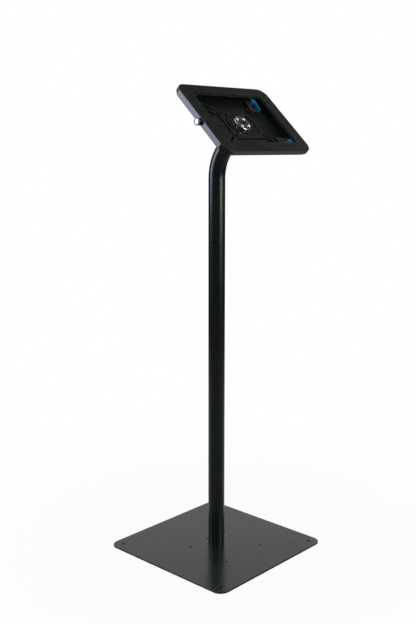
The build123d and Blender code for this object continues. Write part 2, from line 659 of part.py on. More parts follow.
def rear_shell():
    """Pressed pan behind the lid: a rim, a ledge and a deeper floor."""
    pan = slab(PAN_WIDTH, PAN_HEIGHT, PAN_CORNER, PAN_FRONT, PAN_LEDGE_DEPTH)
    pan = fillet(pan.edges().group_by(Axis.Z)[0], PAN_BACK_RADIUS)
    step = slab(PAN_STEP_WIDTH, PAN_STEP_HEIGHT, PAN_STEP_CORNER, PAN_LEDGE_INNER, PAN_FLOOR_DEPTH)
    pan += fillet(step.edges().group_by(Axis.Z)[0], PAN_BACK_RADIUS)
    rim = (PAN_WIDTH - 2 * PAN_SHEET, PAN_HEIGHT - 2 * PAN_SHEET, PAN_CORNER - PAN_SHEET)
    pan -= slab(*rim, PAN_FRONT - OVERRUN, PAN_LEDGE_INNER)
    floor = (STEP_INNER_WIDTH, STEP_INNER_HEIGHT, STEP_INNER_CORNER)
    pan -= slab(*floor, PAN_LEDGE_INNER - OVERRUN, PAN_FLOOR_INNER)
    for bead in floor_beads():
        pan += bead
    low = -PAN_FLOOR_DEPTH - OVERRUN
    pan -= disc(SWIVEL_BORE_RADIUS, low, 0)
    for slot in stop_slots(PAN_FLOOR_INNER - OVERRUN, PAN_FLOOR_DEPTH + OVERRUN):
        pan -= slot
    hole = disc(RIVET_SHANK / 2 + SCREW_FIT, low, 0)
    for place in plate_rivet_places():
        pan -= place * hole
    for turn in rail_places().values():
        for reach in RAIL_RIVETS:
            pan -= turn * Pos(reach, 0, 0) * hole
    for place in shell_rivet_places():
        pan -= place * hole
    wall = box_between(
        (PAN_WALL_X - OVERRUN, -LOCK_BARREL_DIAMETER, -LOCK_BARREL_FLATS / 2 - SCREW_FIT),
        (PAN_WALL_X + PAN_SHEET + OVERRUN, LOCK_BARREL_DIAMETER, LOCK_BARREL_FLATS / 2 + SCREW_FIT),
    )
    barrel = Rot(0, 90, 0) * Cylinder(LOCK_BARREL_DIAMETER / 2 + SCREW_FIT, LID_WIDTH / 2)
    barrel = Pos(PAN_WALL_X, 0, 0) * barrel & wall
    return pan - Pos(0, LOCK_Y, -LOCK_DEPTH) * barrel


def swivel_plate():
    """Oblong plate riveted on the floor of the pan: its bore turns on the ring's hub."""
    size = (SWIVEL_PLATE_WIDTH, SWIVEL_PLATE_HEIGHT, SWIVEL_PLATE_CORNER)
    plate = slab(*size, SWIVEL_PLATE_FRONT, PAN_FLOOR_INNER)
    plate -= disc(SWIVEL_BORE_RADIUS, -PAN_FLOOR_DEPTH, 0)
    for slot in stop_slots(SWIVEL_PLATE_FRONT - OVERRUN, PAN_FLOOR_INNER + OVERRUN):
        plate -= slot
    for place in plate_rivet_places():
        plate -= place * disc(RIVET_SHANK / 2 + SCREW_FIT, -PAN_FLOOR_DEPTH, 0)
    vent = SlotOverall(SWIVEL_PLATE_VENT_LENGTH, SWIVEL_PLATE_VENT_WIDTH)
    vent = Pos(0, 0, -PAN_FLOOR_DEPTH) * extrude(vent, PAN_FLOOR_DEPTH)
    reach = SWIVEL_PLATE_VENT_START + SWIVEL_PLATE_VENT_LENGTH / 2
    for place in PolarLocations(reach, SWIVEL_PLATE_VENTS, 180 / SWIVEL_PLATE_VENTS):
        plate -= place * vent
    return plate


def domed_rivet(front):
    """Rivet along z with a domed head at the front and one behind the pan."""
    body = disc(RIVET_SHANK / 2, -PAN_FLOOR_DEPTH, -front)
    cap = disc(RIVET_HEAD / 2, 0, RIVET_HEAD_RISE)
    cap = fillet(cap.edges().group_by(Axis.Z)[-1], RIVET_HEAD_RISE / 2)
    body += Pos(0, 0, -front) * cap
    return body + Pos(0, 0, -PAN_FLOOR_DEPTH) * Rot(180, 0, 0) * cap


def plate_rivets():
    """Four rivets that hold the swivel plate."""
    rivet = domed_rivet(SWIVEL_PLATE_FRONT)
    return [place * rivet for place in plate_rivet_places()]


def rail_rivets():
    """Two rivets in each rail, sunk flush in front so that the carriage passes."""
    rivet = disc(RIVET_SHANK / 2, -PAN_FLOOR_DEPTH, -RAIL_FRONT)
    sunk = Cone(RIVET_SHANK / 2, RIVET_SUNK_HEAD / 2, RIVET_SUNK_DEPTH)
    rivet += Pos(0, 0, -RAIL_FRONT - RIVET_SUNK_DEPTH / 2) * sunk
    cap = disc(RIVET_HEAD / 2, 0, RIVET_HEAD_RISE)
    cap = fillet(cap.edges().group_by(Axis.Z)[-1], RIVET_HEAD_RISE / 2)
    rivet += Pos(0, 0, -PAN_FLOOR_DEPTH) * Rot(180, 0, 0) * cap
    turns = rail_places().values()
    return [turn * Pos(reach, 0, 0) * rivet for turn in turns for reach in RAIL_RIVETS]


def corner_rail():
    """Slotted channel, drawn along x, in which a corner holder slides."""
    half = RAIL_WIDTH / 2
    rail = box_between((RAIL_START, -half, -PAN_FLOOR_INNER), (RAIL_END, half, -RAIL_FRONT))
    rail = fillet(rail.edges().filter_by(Axis.Z), CARRIAGE_CORNER)
    half = RAIL_CAVITY_WIDTH / 2
    rail -= box_between(
        (RAIL_CAVITY_START, -half, -PAN_FLOOR_INNER - OVERRUN),
        (RAIL_CAVITY_END, half, -RAIL_FRONT - RAIL_TOP),
    )
    half = RAIL_SLOT_WIDTH / 2
    reach = CARRIAGE_TONGUE_LENGTH / 2 + RUN_GAP
    rail -= box_between(
        (HOLDER_INNER_REACH - reach, -half, -PAN_FLOOR_INNER),
        (HOLDER_OUTER_REACH + reach, half, -RAIL_FRONT + OVERRUN),
    )
    for place in RAIL_RIVETS:
        rail -= Pos(place, 0, 0) * disc(RIVET_SHANK / 2 + SCREW_FIT, -PAN_FLOOR_DEPTH, 0)
        seat = Cone(RIVET_SHANK / 2, RIVET_SUNK_HEAD / 2, RIVET_SUNK_DEPTH)
        rail -= Pos(place, 0, -RAIL_FRONT - RIVET_SUNK_DEPTH / 2) * seat
    return rail


def holder_place(name):
    """Middle of a holder's clamp screw on the face of the head, not turned."""
    angle = radians(RAIL_ANGLES[name])
    reach = HOLDER_OUTER_REACH - HOLDER_TRAVEL * HOLDER_SLID_IN_SHARES[name]
    return Pos(reach * cos(angle), reach * sin(angle), 0)


def rectangle_between(low, high):
    """Flat rectangle between two opposite corners."""
    middle = [(a + b) / 2 for a, b in zip(low, high)]
    return Pos(*middle) * Rectangle(high[0] - low[0], high[1] - low[1])


def round_corner(outline):
    """Round the corner that points to the corner of the pan."""
    corner = outline.vertices().sort_by_distance((PAD_RIGHT, PAD_TOP, 0))[0]
    return fillet(corner, PAD_CORNER_RADIUS)


def corner_pad(name):
    """Soft L-shaped pad, with a long thin leg and a short thick head, for a tablet's corner."""
    leg = rectangle_between((PAD_INNER, PAD_LEG_END), (PAD_RIGHT, PAD_TOP))
    head = rectangle_between((PAD_RIGHT - PAD_HEAD_LENGTH, PAD_INNER), (PAD_RIGHT, PAD_TOP))
    pad = extrude(round_corner(leg + head), PAD_HEIGHT)
    pad = fillet(pad.edges().group_by(Axis.Z)[-1], PAD_EDGE_RADIUS)
    turn = Rot(0, 0, PAD_TURNS[name])
    return holder_place(name) * turn * Pos(0, 0, -SHELF_FRONT) * pad


def corner_carriage(name):
    """Carriage under a pad: a shelf, a block on the rail and a tongue in its slot."""
    low = PAD_RIGHT - CARRIAGE_SHELF_WIDTH, PAD_LEG_END
    outline = round_corner(rectangle_between(low, (PAD_RIGHT, PAD_TOP)))
    shelf = Pos(0, 0, -SHELF_BACK) * extrude(outline, CARRIAGE_SHELF)
    block = slab(CARRIAGE_SIDE, CARRIAGE_SIDE, CARRIAGE_CORNER, SHELF_BACK, CARRIAGE_BACK)
    tongue = box_between(
        (-CARRIAGE_TONGUE_LENGTH / 2, -RAIL_SLOT_WIDTH / 2 + FACE_GAP, -RAIL_FRONT - RAIL_TOP),
        (CARRIAGE_TONGUE_LENGTH / 2, RAIL_SLOT_WIDTH / 2 - FACE_GAP, -SHELF_BACK),
    )
    body = Rot(0, 0, PAD_TURNS[name]) * shelf + block + rail_places()[name] * tongue
    body -= disc(CLAMP_SCREW_DIAMETER / 2 + SCREW_FIT, -PAN_FLOOR_INNER, 0)
    seat = Cone(CLAMP_SCREW_DIAMETER / 2, CLAMP_SCREW_HEAD / 2, CLAMP_SCREW_HEAD_DEPTH)
    body -= Pos(0, 0, -SHELF_FRONT - CLAMP_SCREW_HEAD_DEPTH / 2) * seat
    return holder_place(name) * body


def clamp_nut(name):
    """Square nut that slides inside the rail under a carriage."""
    half = NUT_SIDE / 2
    nut = box_between((-half, -half, -NUT_FRONT - NUT_THICKNESS), (half, half, -NUT_FRONT))
    nut -= disc(CLAMP_SCREW_DIAMETER / 2, -PAN_FLOOR_INNER, 0)
    return holder_place(name) * rail_places()[name] * nut


def clamp_screw(name):
    """Countersunk screw that clamps a carriage to its rail."""
    screw = sunk_screw(
        CLAMP_SCREW_DIAMETER,
        CLAMP_SCREW_HEAD,
        CLAMP_SCREW_HEAD_DEPTH,
        NUT_FRONT + NUT_THICKNESS - SHELF_FRONT,
        CLAMP_SCREW_SOCKET,
        CLAMP_SCREW_SOCKET_DEPTH,
    )
    return holder_place(name) * Pos(0, 0, -SHELF_FRONT) * screw


def knuckle_spans(on_lid):
    """Start and end along y of the knuckles of one leaf, the shell's at both ends."""
    spans = []
    for k in range(HINGE_KNUCKLES):
        if (k % 2 == 1) == on_lid:
            start = -HINGE_LENGTH / 2 + k * KNUCKLE_PITCH + RUN_GAP / 2
            spans.append((start, start + KNUCKLE_LENGTH))
    return spans


def along_hinge(radius, start, end):
    """Round bar on the hinge axis between two places along y."""
    bar = Rot(-90, 0, 0) * extrude(Circle(radius), end - start)
    return Pos(HINGE_X, start, -HINGE_DEPTH) * bar


def shell_rivet_places():
    """Middles of the rivets of the shell leaf in the pan's ledge."""
    x = HINGE_X - HINGE_FASTENER_INSET
    return [Pos(x, k * HINGE_FASTENER_PITCH, 0) for k in (-1, 0, 1)]


def lid_screw_places():
    """Places of the lid leaf's screws on the lid's right wall, z pointing outwards."""
    x = LID_WIDTH / 2
    return [Pos(x, k * HINGE_FASTENER_PITCH, -HINGE_SCREW_DEPTH) * Rot(0, 90, 0) for k in (-1, 0, 1)]


def shell_leaf():
    """Fixed leaf of the lid hinge, flat on the pan's ledge."""
    half = HINGE_LENGTH / 2
    top = -PAN_LEDGE_DEPTH
    inner = HINGE_X - HINGE_LEAF_REACH
    outer = HINGE_X - KNUCKLE_RADIUS - RUN_GAP
    leaf = box_between((inner, -half, top - HINGE_LEAF), (outer, half, top))
    for start, end in knuckle_spans(False):
        leaf += box_between((outer, start, top - HINGE_LEAF), (HINGE_X, end, top))
        leaf += along_hinge(KNUCKLE_RADIUS, start, end)
    leaf -= along_hinge(HINGE_PIN_DIAMETER / 2 + PIVOT_FIT, -half - OVERRUN, half + OVERRUN)
    for place in shell_rivet_places():
        leaf -= place * disc(RIVET_SHANK / 2 + SCREW_FIT, top - HINGE_LEAF - OVERRUN, top + OVERRUN)
    return leaf


def lid_leaf():
    """Moving leaf of the lid hinge, flat on the lid's right wall."""
    half = HINGE_LENGTH / 2
    wall = LID_WIDTH / 2
    clear = -HINGE_LID_LEAF_BACK
    low, high = knuckle_spans(True)[0][0], knuckle_spans(True)[-1][1]
    leaf = box_between((wall, low, clear), (wall + HINGE_LEAF, high, -HINGE_LID_LEAF_FRONT))
    for start, end in knuckle_spans(True):
        leaf += box_between((wall, start, -HINGE_DEPTH), (wall + HINGE_LEAF, end, clear))
        leaf += along_hinge(KNUCKLE_RADIUS, start, end)
    leaf -= along_hinge(HINGE_PIN_DIAMETER / 2 + PIVOT_FIT, -half - OVERRUN, half + OVERRUN)
    for place in lid_screw_places():
        leaf -= place * disc(HINGE_SCREW_DIAMETER / 2 + SCREW_FIT, -OVERRUN, HINGE_LEAF + OVERRUN)
    return leaf


def hinge_pin():
    """Steel pin through all the knuckles."""
    return along_hinge(HINGE_PIN_DIAMETER / 2, -HINGE_LENGTH / 2, HINGE_LENGTH / 2)


def shell_hinge_rivets():
    """Three rivets that hold the shell leaf to the pan's ledge."""
    back = PAN_LEDGE_DEPTH + HINGE_LEAF
    cap = disc(RIVET_HEAD / 2, 0, HINGE_LEAF)
    cap = fillet(cap.edges().group_by(Axis.Z)[-1], HINGE_LEAF / 2)
    rivet = disc(RIVET_SHANK / 2, -back, -PAN_LEDGE_INNER)
    rivet += Pos(0, 0, -PAN_LEDGE_INNER) * cap
    rivet += Pos(0, 0, -back) * Rot(180, 0, 0) * cap
    return [place * rivet for place in shell_rivet_places()]


def lid_hinge_screws():
    """Three button-head screws that hold the lid leaf to the lid's wall."""
    screw = button_screw(
        HINGE_SCREW_DIAMETER,
        HINGE_SCREW_HEAD,
        HINGE_SCREW_HEAD_HEIGHT,
        LID_SHEET + HINGE_LEAF,
        HINGE_SCREW_DIAMETER / 2,
        HINGE_SCREW_HEAD_HEIGHT / 2,
    )
    return [place * Pos(0, 0, HINGE_LEAF) * screw for place in lid_screw_places()]


def along_lock(radius, start, end):
    """Round bar on the lock's axis between two places along x."""
    bar = Rot(0, 90, 0) * extrude(Circle(radius), end - start)
    return Pos(start, LOCK_Y, -LOCK_DEPTH) * bar


def lock_housing():
    """Chrome barrel on the left wall, flatted where it passes through the pan."""
    head = along_lock(LOCK_HEAD_DIAMETER / 2, LOCK_OUTER_X, LOCK_FACE_X)
    head = chamfer(head.edges().group_by(Axis.X)[0], LOCK_HEAD_EDGE)
    barrel = along_lock(LOCK_BARREL_DIAMETER / 2, LOCK_FACE_X, BARREL_END_X)
    half = LOCK_BARREL_FLATS / 2
    flats = box_between(
        (LOCK_FACE_X, LOCK_Y - LOCK_BARREL_DIAMETER, -LOCK_DEPTH - half),
        (BARREL_END_X, LOCK_Y + LOCK_BARREL_DIAMETER, -LOCK_DEPTH + half),
    )
    body = head + (barrel & flats)
    groove_end = CLIP_X + CLIP_THICKNESS + FACE_GAP
    groove = along_lock(LOCK_BARREL_DIAMETER, CLIP_X, groove_end)
    groove -= along_lock(half - LOCK_GROOVE, CLIP_X - OVERRUN, groove_end + OVERRUN)
    body -= groove
    body -= along_lock(PLUG_DIAMETER / 2 + PLUG_FIT, LOCK_OUTER_X, BARREL_END_X + OVERRUN)
    head_floor = LOCK_OUTER_X + PLUG_HEAD_SINK + PLUG_HEAD_HEIGHT + FACE_GAP
    return body - along_lock(PLUG_HEAD_DIAMETER / 2 + PLUG_FIT, LOCK_OUTER_X - OVERRUN, head_floor)


def lock_clip():
    """Steel clip that slides into the barrel's groove behind the pan's wall."""
    half = CLIP_LENGTH / 2
    clip = box_between(
        (CLIP_X, LOCK_Y - half, -LOCK_DEPTH - CLIP_WIDTH / 2),
        (CLIP_X + CLIP_THICKNESS, LOCK_Y + half, -LOCK_DEPTH + CLIP_WIDTH / 2),
    )
    gap = LOCK_BARREL_FLATS / 2 - LOCK_GROOVE + SCREW_FIT
    clip -= along_lock(gap, CLIP_X - OVERRUN, CLIP_X + CLIP_THICKNESS + OVERRUN)
    return clip - box_between(
        (CLIP_X - OVERRUN, LOCK_Y - half - OVERRUN, -LOCK_DEPTH - gap),
        (CLIP_X + CLIP_THICKNESS + OVERRUN, LOCK_Y, -LOCK_DEPTH + gap),
    )


def lock_plug():
    """Plug that turns in the housing, with a keyway and a tang for the cam."""
    face = LOCK_OUTER_X + PLUG_HEAD_SINK
    plug = along_lock(PLUG_HEAD_DIAMETER / 2, face, face + PLUG_HEAD_HEIGHT)
    plug += along_lock(PLUG_DIAMETER / 2, face, BARREL_END_X + FACE_GAP)
    half = PLUG_TANG / 2
    tang = box_between(
        (BARREL_END_X, LOCK_Y - half, -LOCK_DEPTH - half),
        (CAM_BACK_X, LOCK_Y + half, -LOCK_DEPTH + half),
    )
    plug += tang
    plug -= along_lock(CAM_SCREW_DIAMETER / 2, CAM_BACK_X - CAM_SCREW_GRIP, CAM_BACK_X + OVERRUN)
    return plug - box_between(
        (face - OVERRUN, LOCK_Y - KEYWAY_WIDTH / 2, -LOCK_DEPTH - KEYWAY_HEIGHT / 2),
        (face + KEYWAY_DEPTH, LOCK_Y + KEYWAY_WIDTH / 2, -LOCK_DEPTH + KEYWAY_HEIGHT / 2),
    )


def lock_cam():
    """Cam on the plug's tang, drawn released: its arm points at the lid."""
    cam = along_lock(CAM_HUB_DIAMETER / 2, CAM_X, CAM_BACK_X)
    cam += box_between(
        (CAM_X, LOCK_Y - CAM_WIDTH / 2, -LOCK_DEPTH),
        (CAM_BACK_X, LOCK_Y + CAM_WIDTH / 2, -LOCK_DEPTH + CAM_REACH),
    )
    half = PLUG_TANG / 2 + SCREW_FIT
    return cam - box_between(
        (CAM_X - OVERRUN, LOCK_Y - half, -LOCK_DEPTH - half),
        (CAM_BACK_X + OVERRUN, LOCK_Y + half, -LOCK_DEPTH + half),
    )


def cam_screw():
    """Screw that holds the cam on the tang."""
    screw = button_screw(
        CAM_SCREW_DIAMETER,
        CAM_SCREW_HEAD,
        CAM_SCREW_HEAD_HEIGHT,
        CAM_SCREW_GRIP,
        CAM_SCREW_DIAMETER,
        CAM_SCREW_HEAD_HEIGHT / 2,
    )
    return Pos(CAM_BACK_X, LOCK_Y, -LOCK_DEPTH) * Rot(0, 90, 0) * screw


def lock_strike():
    """Staple on the lid: two legs and a sill that the turned cam lies over."""
    near = LOCK_Y + LOCK_BARREL_DIAMETER / 2 + STRIKE_SIDE_GAP
    sill = -LOCK_DEPTH - CAM_WIDTH / 2 - STRIKE_CAM_GAP
    inner = CAM_THICKNESS / 2 + STRIKE_CAM_GAP + RUN_GAP
    outer = inner + STRIKE_LEG
    staple = box_between(
        (CAM_MIDDLE_X - outer, near, sill - STRIKE_SILL),
        (CAM_MIDDLE_X + outer, near + STRIKE_BAR, -LID_SHEET),
    )
    return staple - box_between(
        (CAM_MIDDLE_X - inner, near - OVERRUN, sill),
        (CAM_MIDDLE_X + inner, near + STRIKE_BAR + OVERRUN, -LID_SHEET + OVERRUN),
    )


os.makedirs("parts", exist_ok=True)

# Stand: base plate, pole and the fixed half of the swivel
write("base_plate", base_plate())
write("rubber_feet", *rubber_feet())
write("foot_rivets", *foot_rivets())
write("pole_tube", pole_tube())
write("foot_plug", foot_plug())
write("pole_screws", *pole_screws())
write("cable_grommet", cable_grommet())
write_head("head_flange", head_flange())
write_head("stop_pins", *stop_pins())
write_head("rear_washer", rear_washer())
write_head("front_washer", front_washer())
write_head("swivel_ring", swivel_ring())
write_head("ring_screws", *ring_screws())
write_head("cable_bushing", cable_bushing())

# Head: the pan and what is fixed in it
write_head("rear_shell", rear_shell())
write_head("swivel_plate", swivel_plate())
write_head("plate_rivets", *plate_rivets())
write_head("rail_rivets", *rail_rivets())
for corner, turn in rail_places().items():
    write_head(f"{corner}_rail", turn * corner_rail())
write_head("shell_hinge_leaf", shell_leaf())
write_head("hinge_pin", hinge_pin())
write_head("shell_hinge_rivets", *shell_hinge_rivets())
write_head("lock_housing", lock_housing())
write_head("lock_clip", lock_clip())

# Lock plug and its cam
write_head("lock_plug", lock_plug())
write_head("lock_cam", lock_cam())
write_head("cam_screw", cam_screw())

# Front frame: the lid and what it carries
write_head("front_frame", front_frame())
write_head("window_liner", window_liner())
write_head("window_gasket", window_gasket())
write_head("lid_hinge_leaf", lid_leaf())
write_head("lid_hinge_screws", *lid_hinge_screws())
write_head("lock_strike", lock_strike())

# Corner holders
for corner in RAIL_ANGLES:
    write_head(f"{corner}_pad", corner_pad(corner))
    write_head(f"{corner}_carriage", corner_carriage(corner))
    write_head(f"{corner}_clamp_screw", clamp_screw(corner))
    write_head(f"{corner}_clamp_nut", clamp_nut(corner))
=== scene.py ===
import json
import math

import bmesh
import bpy
from mathutils import Matrix, Quaternion, Vector


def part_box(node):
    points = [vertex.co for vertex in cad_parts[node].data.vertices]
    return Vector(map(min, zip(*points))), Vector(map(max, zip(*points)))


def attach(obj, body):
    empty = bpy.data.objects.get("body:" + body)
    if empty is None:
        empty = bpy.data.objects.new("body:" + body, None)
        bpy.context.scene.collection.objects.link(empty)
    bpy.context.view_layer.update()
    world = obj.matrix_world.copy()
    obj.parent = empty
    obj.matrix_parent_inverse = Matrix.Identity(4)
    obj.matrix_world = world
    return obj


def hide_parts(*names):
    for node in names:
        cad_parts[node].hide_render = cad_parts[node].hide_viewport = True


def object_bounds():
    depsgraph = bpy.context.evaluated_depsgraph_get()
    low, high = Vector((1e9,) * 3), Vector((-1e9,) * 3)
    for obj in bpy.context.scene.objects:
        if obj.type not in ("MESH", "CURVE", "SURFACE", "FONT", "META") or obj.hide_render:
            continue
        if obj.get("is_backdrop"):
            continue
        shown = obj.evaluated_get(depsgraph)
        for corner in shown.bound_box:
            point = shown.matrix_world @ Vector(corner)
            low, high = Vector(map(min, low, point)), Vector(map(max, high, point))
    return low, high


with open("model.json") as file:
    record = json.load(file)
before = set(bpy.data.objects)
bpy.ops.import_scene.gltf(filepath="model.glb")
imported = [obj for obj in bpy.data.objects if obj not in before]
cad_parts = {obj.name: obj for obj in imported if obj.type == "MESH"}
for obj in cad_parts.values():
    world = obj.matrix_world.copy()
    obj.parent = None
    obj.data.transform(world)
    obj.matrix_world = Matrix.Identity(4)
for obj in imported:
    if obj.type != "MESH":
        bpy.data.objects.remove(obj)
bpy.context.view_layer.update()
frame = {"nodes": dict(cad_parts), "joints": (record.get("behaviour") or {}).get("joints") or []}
nodes = frame["nodes"]

# The camera stands in front of the stand and to the left of whoever uses it, level with
# the window's lower edge, and its frame is cut off-centre as the photograph's is.
CAMERA_PLACE = Vector((1.5250, -1.6601, 1.0504))
CAMERA_AIM = Vector((0.0, 0.0, 0.7102))
CAMERA_ROLL = 0.0017
SENSOR_MM = 36.0
LENS_MM = 51.647
SHIFT_ACROSS = -0.01396
SHIFT_UP = -0.05012
NEAREST_SEEN = 0.05
FARTHEST_SEEN = 60.0

lens = bpy.data.cameras.new("photo_camera")
lens.sensor_width = SENSOR_MM
lens.lens = LENS_MM
lens.shift_x = SHIFT_ACROSS
lens.shift_y = SHIFT_UP
lens.clip_start = NEAREST_SEEN
lens.clip_end = FARTHEST_SEEN
camera = bpy.data.objects.new("photo_camera", lens)
bpy.context.scene.collection.objects.link(camera)
camera.location = CAMERA_PLACE
camera.rotation_mode = "QUATERNION"
camera.rotation_quaternion = (
    (CAMERA_AIM - CAMERA_PLACE).to_track_quat("-Z", "Y") @ Quaternion((0.0, 0.0, 1.0), CAMERA_ROLL)
)
bpy.context.scene.camera = camera

# Base plate: a square of 4 mm sheet steel with rounded corners, laser-cut, with four
# holes for floor anchors and one for a tether. It is powder-coated satin black after
# cutting, so its edge is soft and as black as its face.
COAT_BLACK = "#141717"
COAT_GREY = "#1b201f"
COAT_SHEEN = "#f4fffb"
# Orange peel is about 1.5 mm from crest to crest, and is drawn a little coarser to show.
COAT_PEEL_MM = 2.2
COAT_PEEL_HEIGHT_MM = 0.0012
COAT_CLOUD_MM = 85.0
PLATE_ROUGHNESS = 0.22
GLOSS_SPREAD = 0.025
# A noise texture's values lie mostly between these two.
NOISE_LOW = 0.3
NOISE_HIGH = 0.7


def linear(hex_colour):
    """Linear colour of an sRGB hex value."""
    parts = [int(hex_colour[i:i + 2], 16) / 255 for i in (1, 3, 5)]
    return [part / 12.92 if part <= 0.04045 else ((part + 0.055) / 1.055) ** 2.4 for part in parts] + [1.0]


def add(tree, kind, links=None, values=None, **settings):
    """Add a node to a tree with its settings, its sockets' values and its links."""
    node = tree.nodes.new(kind)
    for name, setting in settings.items():
        setattr(node, name, setting)
    for name, value in (values or {}).items():
        node.inputs[name].default_value = value
    for name, source in (links or {}).items():
        tree.links.new(source, node.inputs[name])
    return node


def new_material(name):
    """Empty material, its tree and the mesh's own coordinates in metres."""
    material = bpy.data.materials.new(name)
    material.use_nodes = True
    tree = material.node_tree
    tree.nodes.clear()
    return material, tree, add(tree, "ShaderNodeTexCoord").outputs["Object"]


def per_metre(size_mm):
    """Texture scale of a pattern whose grains are this size."""
    return 1000.0 / size_mm


def powder_coat(name, roughness, low=COAT_BLACK, high=COAT_GREY):
    """Polyester powder coat on steel: satin, with faint orange peel and a cloudy gloss."""
    material, tree, place = new_material(name)
    peel = add(tree, "ShaderNodeTexNoise", {"Vector": place},
               {"Scale": per_metre(COAT_PEEL_MM), "Detail": 2.0, "Roughness": 0.5})
    cloud = add(tree, "ShaderNodeTexNoise", {"Vector": place},
                {"Scale": per_metre(COAT_CLOUD_MM), "Detail": 3.0, "Roughness": 0.6})
    tone = add(tree, "ShaderNodeMixRGB", {"Fac": cloud.outputs["Fac"]},
               {"Color1": linear(low), "Color2": linear(high)})
    gloss = add(tree, "ShaderNodeMapRange", {"Value": cloud.outputs["Fac"]},
                {"From Min": NOISE_LOW, "From Max": NOISE_HIGH,
                 "To Min": roughness - GLOSS_SPREAD, "To Max": roughness + GLOSS_SPREAD})
    bump = add(tree, "ShaderNodeBump", {"Height": peel.outputs["Fac"]},
               {"Strength": 1.0, "Distance": COAT_PEEL_HEIGHT_MM / 1000})
    surface = add(tree, "ShaderNodeBsdfPrincipled",
                  {"Base Color": tone.outputs["Color"], "Roughness": gloss.outputs["Result"],
                   "Normal": bump.outputs["Normal"]},
                  {"IOR": 1.5, "Specular Tint": linear(COAT_SHEEN)})
    add(tree, "ShaderNodeOutputMaterial", {"Surface": surface.outputs["BSDF"]})
    return material


def finish(material, *names):
    """Give CAD nodes their material."""
    for name in names:
        if not nodes[name].data.materials:
            nodes[name].data.materials.append(material)
        for slot in nodes[name].material_slots:
            slot.material = material


finish(powder_coat("Powder_coated_steel_plate", PLATE_ROUGHNESS), "base_plate")

# Rubber feet: four thin moulded discs under the corners of the plate, with two grip
# grooves in the sole and a blind hole for the rivet that holds each of them.
RUBBER_BLACK = "#1b1b1c"
RUBBER_GREY = "#262627"
# The mould's blasted grain is about 0.2 mm, and is drawn coarser, as a dull bloom.
RUBBER_GRAIN_MM = 0.9
RUBBER_GRAIN_HEIGHT_MM = 0.03
RUBBER_ROUGHNESS = 0.62
FOOT_RADIUS = 0.015
FOOT_HEIGHT = 0.002
FOOT_HOLE_RADIUS = 0.002
FOOT_HOLE_FLOOR = 0.0008
FOOT_EDGE = 0.0006
FOOT_GROOVES = (0.006, 0.0105)
FOOT_GROOVE_HALF_WIDTH = 0.0007
FOOT_GROOVE_DEPTH = 0.0005
ROUND_STEPS = 64
SEAM_GAP = 1e-6
CREASE_ANGLE = math.radians(38)


def lathe(form, outline, steps=ROUND_STEPS, closed=True):
    """Spin an outline of (radius, height) points round the Z axis, into a form."""
    points = [form.verts.new((radius, 0.0, height)) for radius, height in outline]
    ends = points[1:] + points[:1] if closed else points[1:]
    lines = [form.edges.new(pair) for pair in zip(points, ends)]
    bmesh.ops.spin(form, geom=points + lines, axis=(0, 0, 1), cent=(0, 0, 0),
                   angle=math.tau, steps=steps, use_merge=True)


def points_of(geometry):
    """The vertices among what a bmesh operator gives back."""
    return [part for part in geometry if isinstance(part, bmesh.types.BMVert)]


def everything_in(form):
    """All vertices, edges and faces of a form."""
    return form.verts[:] + form.edges[:] + form.faces[:]


def solid_piece(form, name, material):
    """Close a form's seams, turn its faces outwards and make it an object."""
    bmesh.ops.remove_doubles(form, verts=form.verts, dist=SEAM_GAP)
    bmesh.ops.recalc_face_normals(form, faces=form.faces)
    mesh = bpy.data.meshes.new(name)
    form.to_mesh(mesh)
    form.free()
    mesh.materials.append(material)
    mesh.shade_smooth()
    mesh.set_sharp_from_angle(angle=CREASE_ANGLE)
    made = bpy.data.objects.new(name, mesh)
    bpy.context.scene.collection.objects.link(made)
    return made


rubber, tree, place = new_material("Moulded_rubber")
grain = add(tree, "ShaderNodeTexNoise", {"Vector": place},
            {"Scale": per_metre(RUBBER_GRAIN_MM), "Detail": 3.0, "Roughness": 0.6})
tone = add(tree, "ShaderNodeMixRGB", {"Fac": grain.outputs["Fac"]},
           {"Color1": linear(RUBBER_BLACK), "Color2": linear(RUBBER_GREY)})
bump = add(tree, "ShaderNodeBump", {"Height": grain.outputs["Fac"]},
           {"Strength": 1.0, "Distance": RUBBER_GRAIN_HEIGHT_MM / 1000})
surface = add(tree, "ShaderNodeBsdfPrincipled",
              {"Base Color": tone.outputs["Color"], "Normal": bump.outputs["Normal"]},
              {"Roughness": RUBBER_ROUGHNESS, "IOR": 1.52})
add(tree, "ShaderNodeOutputMaterial", {"Surface": surface.outputs["BSDF"]})

feet_low, feet_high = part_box("rubber_feet")
sole = [(0.0, 0.0)]
for groove in FOOT_GROOVES:
    sole += [(groove - FOOT_GROOVE_HALF_WIDTH, 0.0), (groove, FOOT_GROOVE_DEPTH),
             (groove + FOOT_GROOVE_HALF_WIDTH, 0.0)]
sole += [(FOOT_RADIUS - FOOT_EDGE, 0.0), (FOOT_RADIUS - FOOT_EDGE / 4, FOOT_EDGE / 3),
         (FOOT_RADIUS, FOOT_EDGE), (FOOT_RADIUS, FOOT_HEIGHT), (FOOT_HOLE_RADIUS, FOOT_HEIGHT),
         (FOOT_HOLE_RADIUS, FOOT_HOLE_FLOOR), (0.0, FOOT_HOLE_FLOOR)]
form = bmesh.new()
lathe(form, sole, closed=False)
foot = everything_in(form)
corner_x = feet_high[0] - FOOT_RADIUS
corner_y = feet_high[1] - FOOT_RADIUS
for x, y in ((-corner_x, -corner_y), (-corner_x, corner_y), (corner_x, -corner_y)):
    copy = bmesh.ops.duplicate(form, geom=foot)["geom"]
    bmesh.ops.translate(form, verts=points_of(copy), vec=(x, y, feet_low[2]))
bmesh.ops.translate(form, verts=points_of(foot), vec=(corner_x, corner_y, feet_low[2]))
feet = solid_piece(form, "moulded_feet", rubber)
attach(feet, "stand")
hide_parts("rubber_feet")

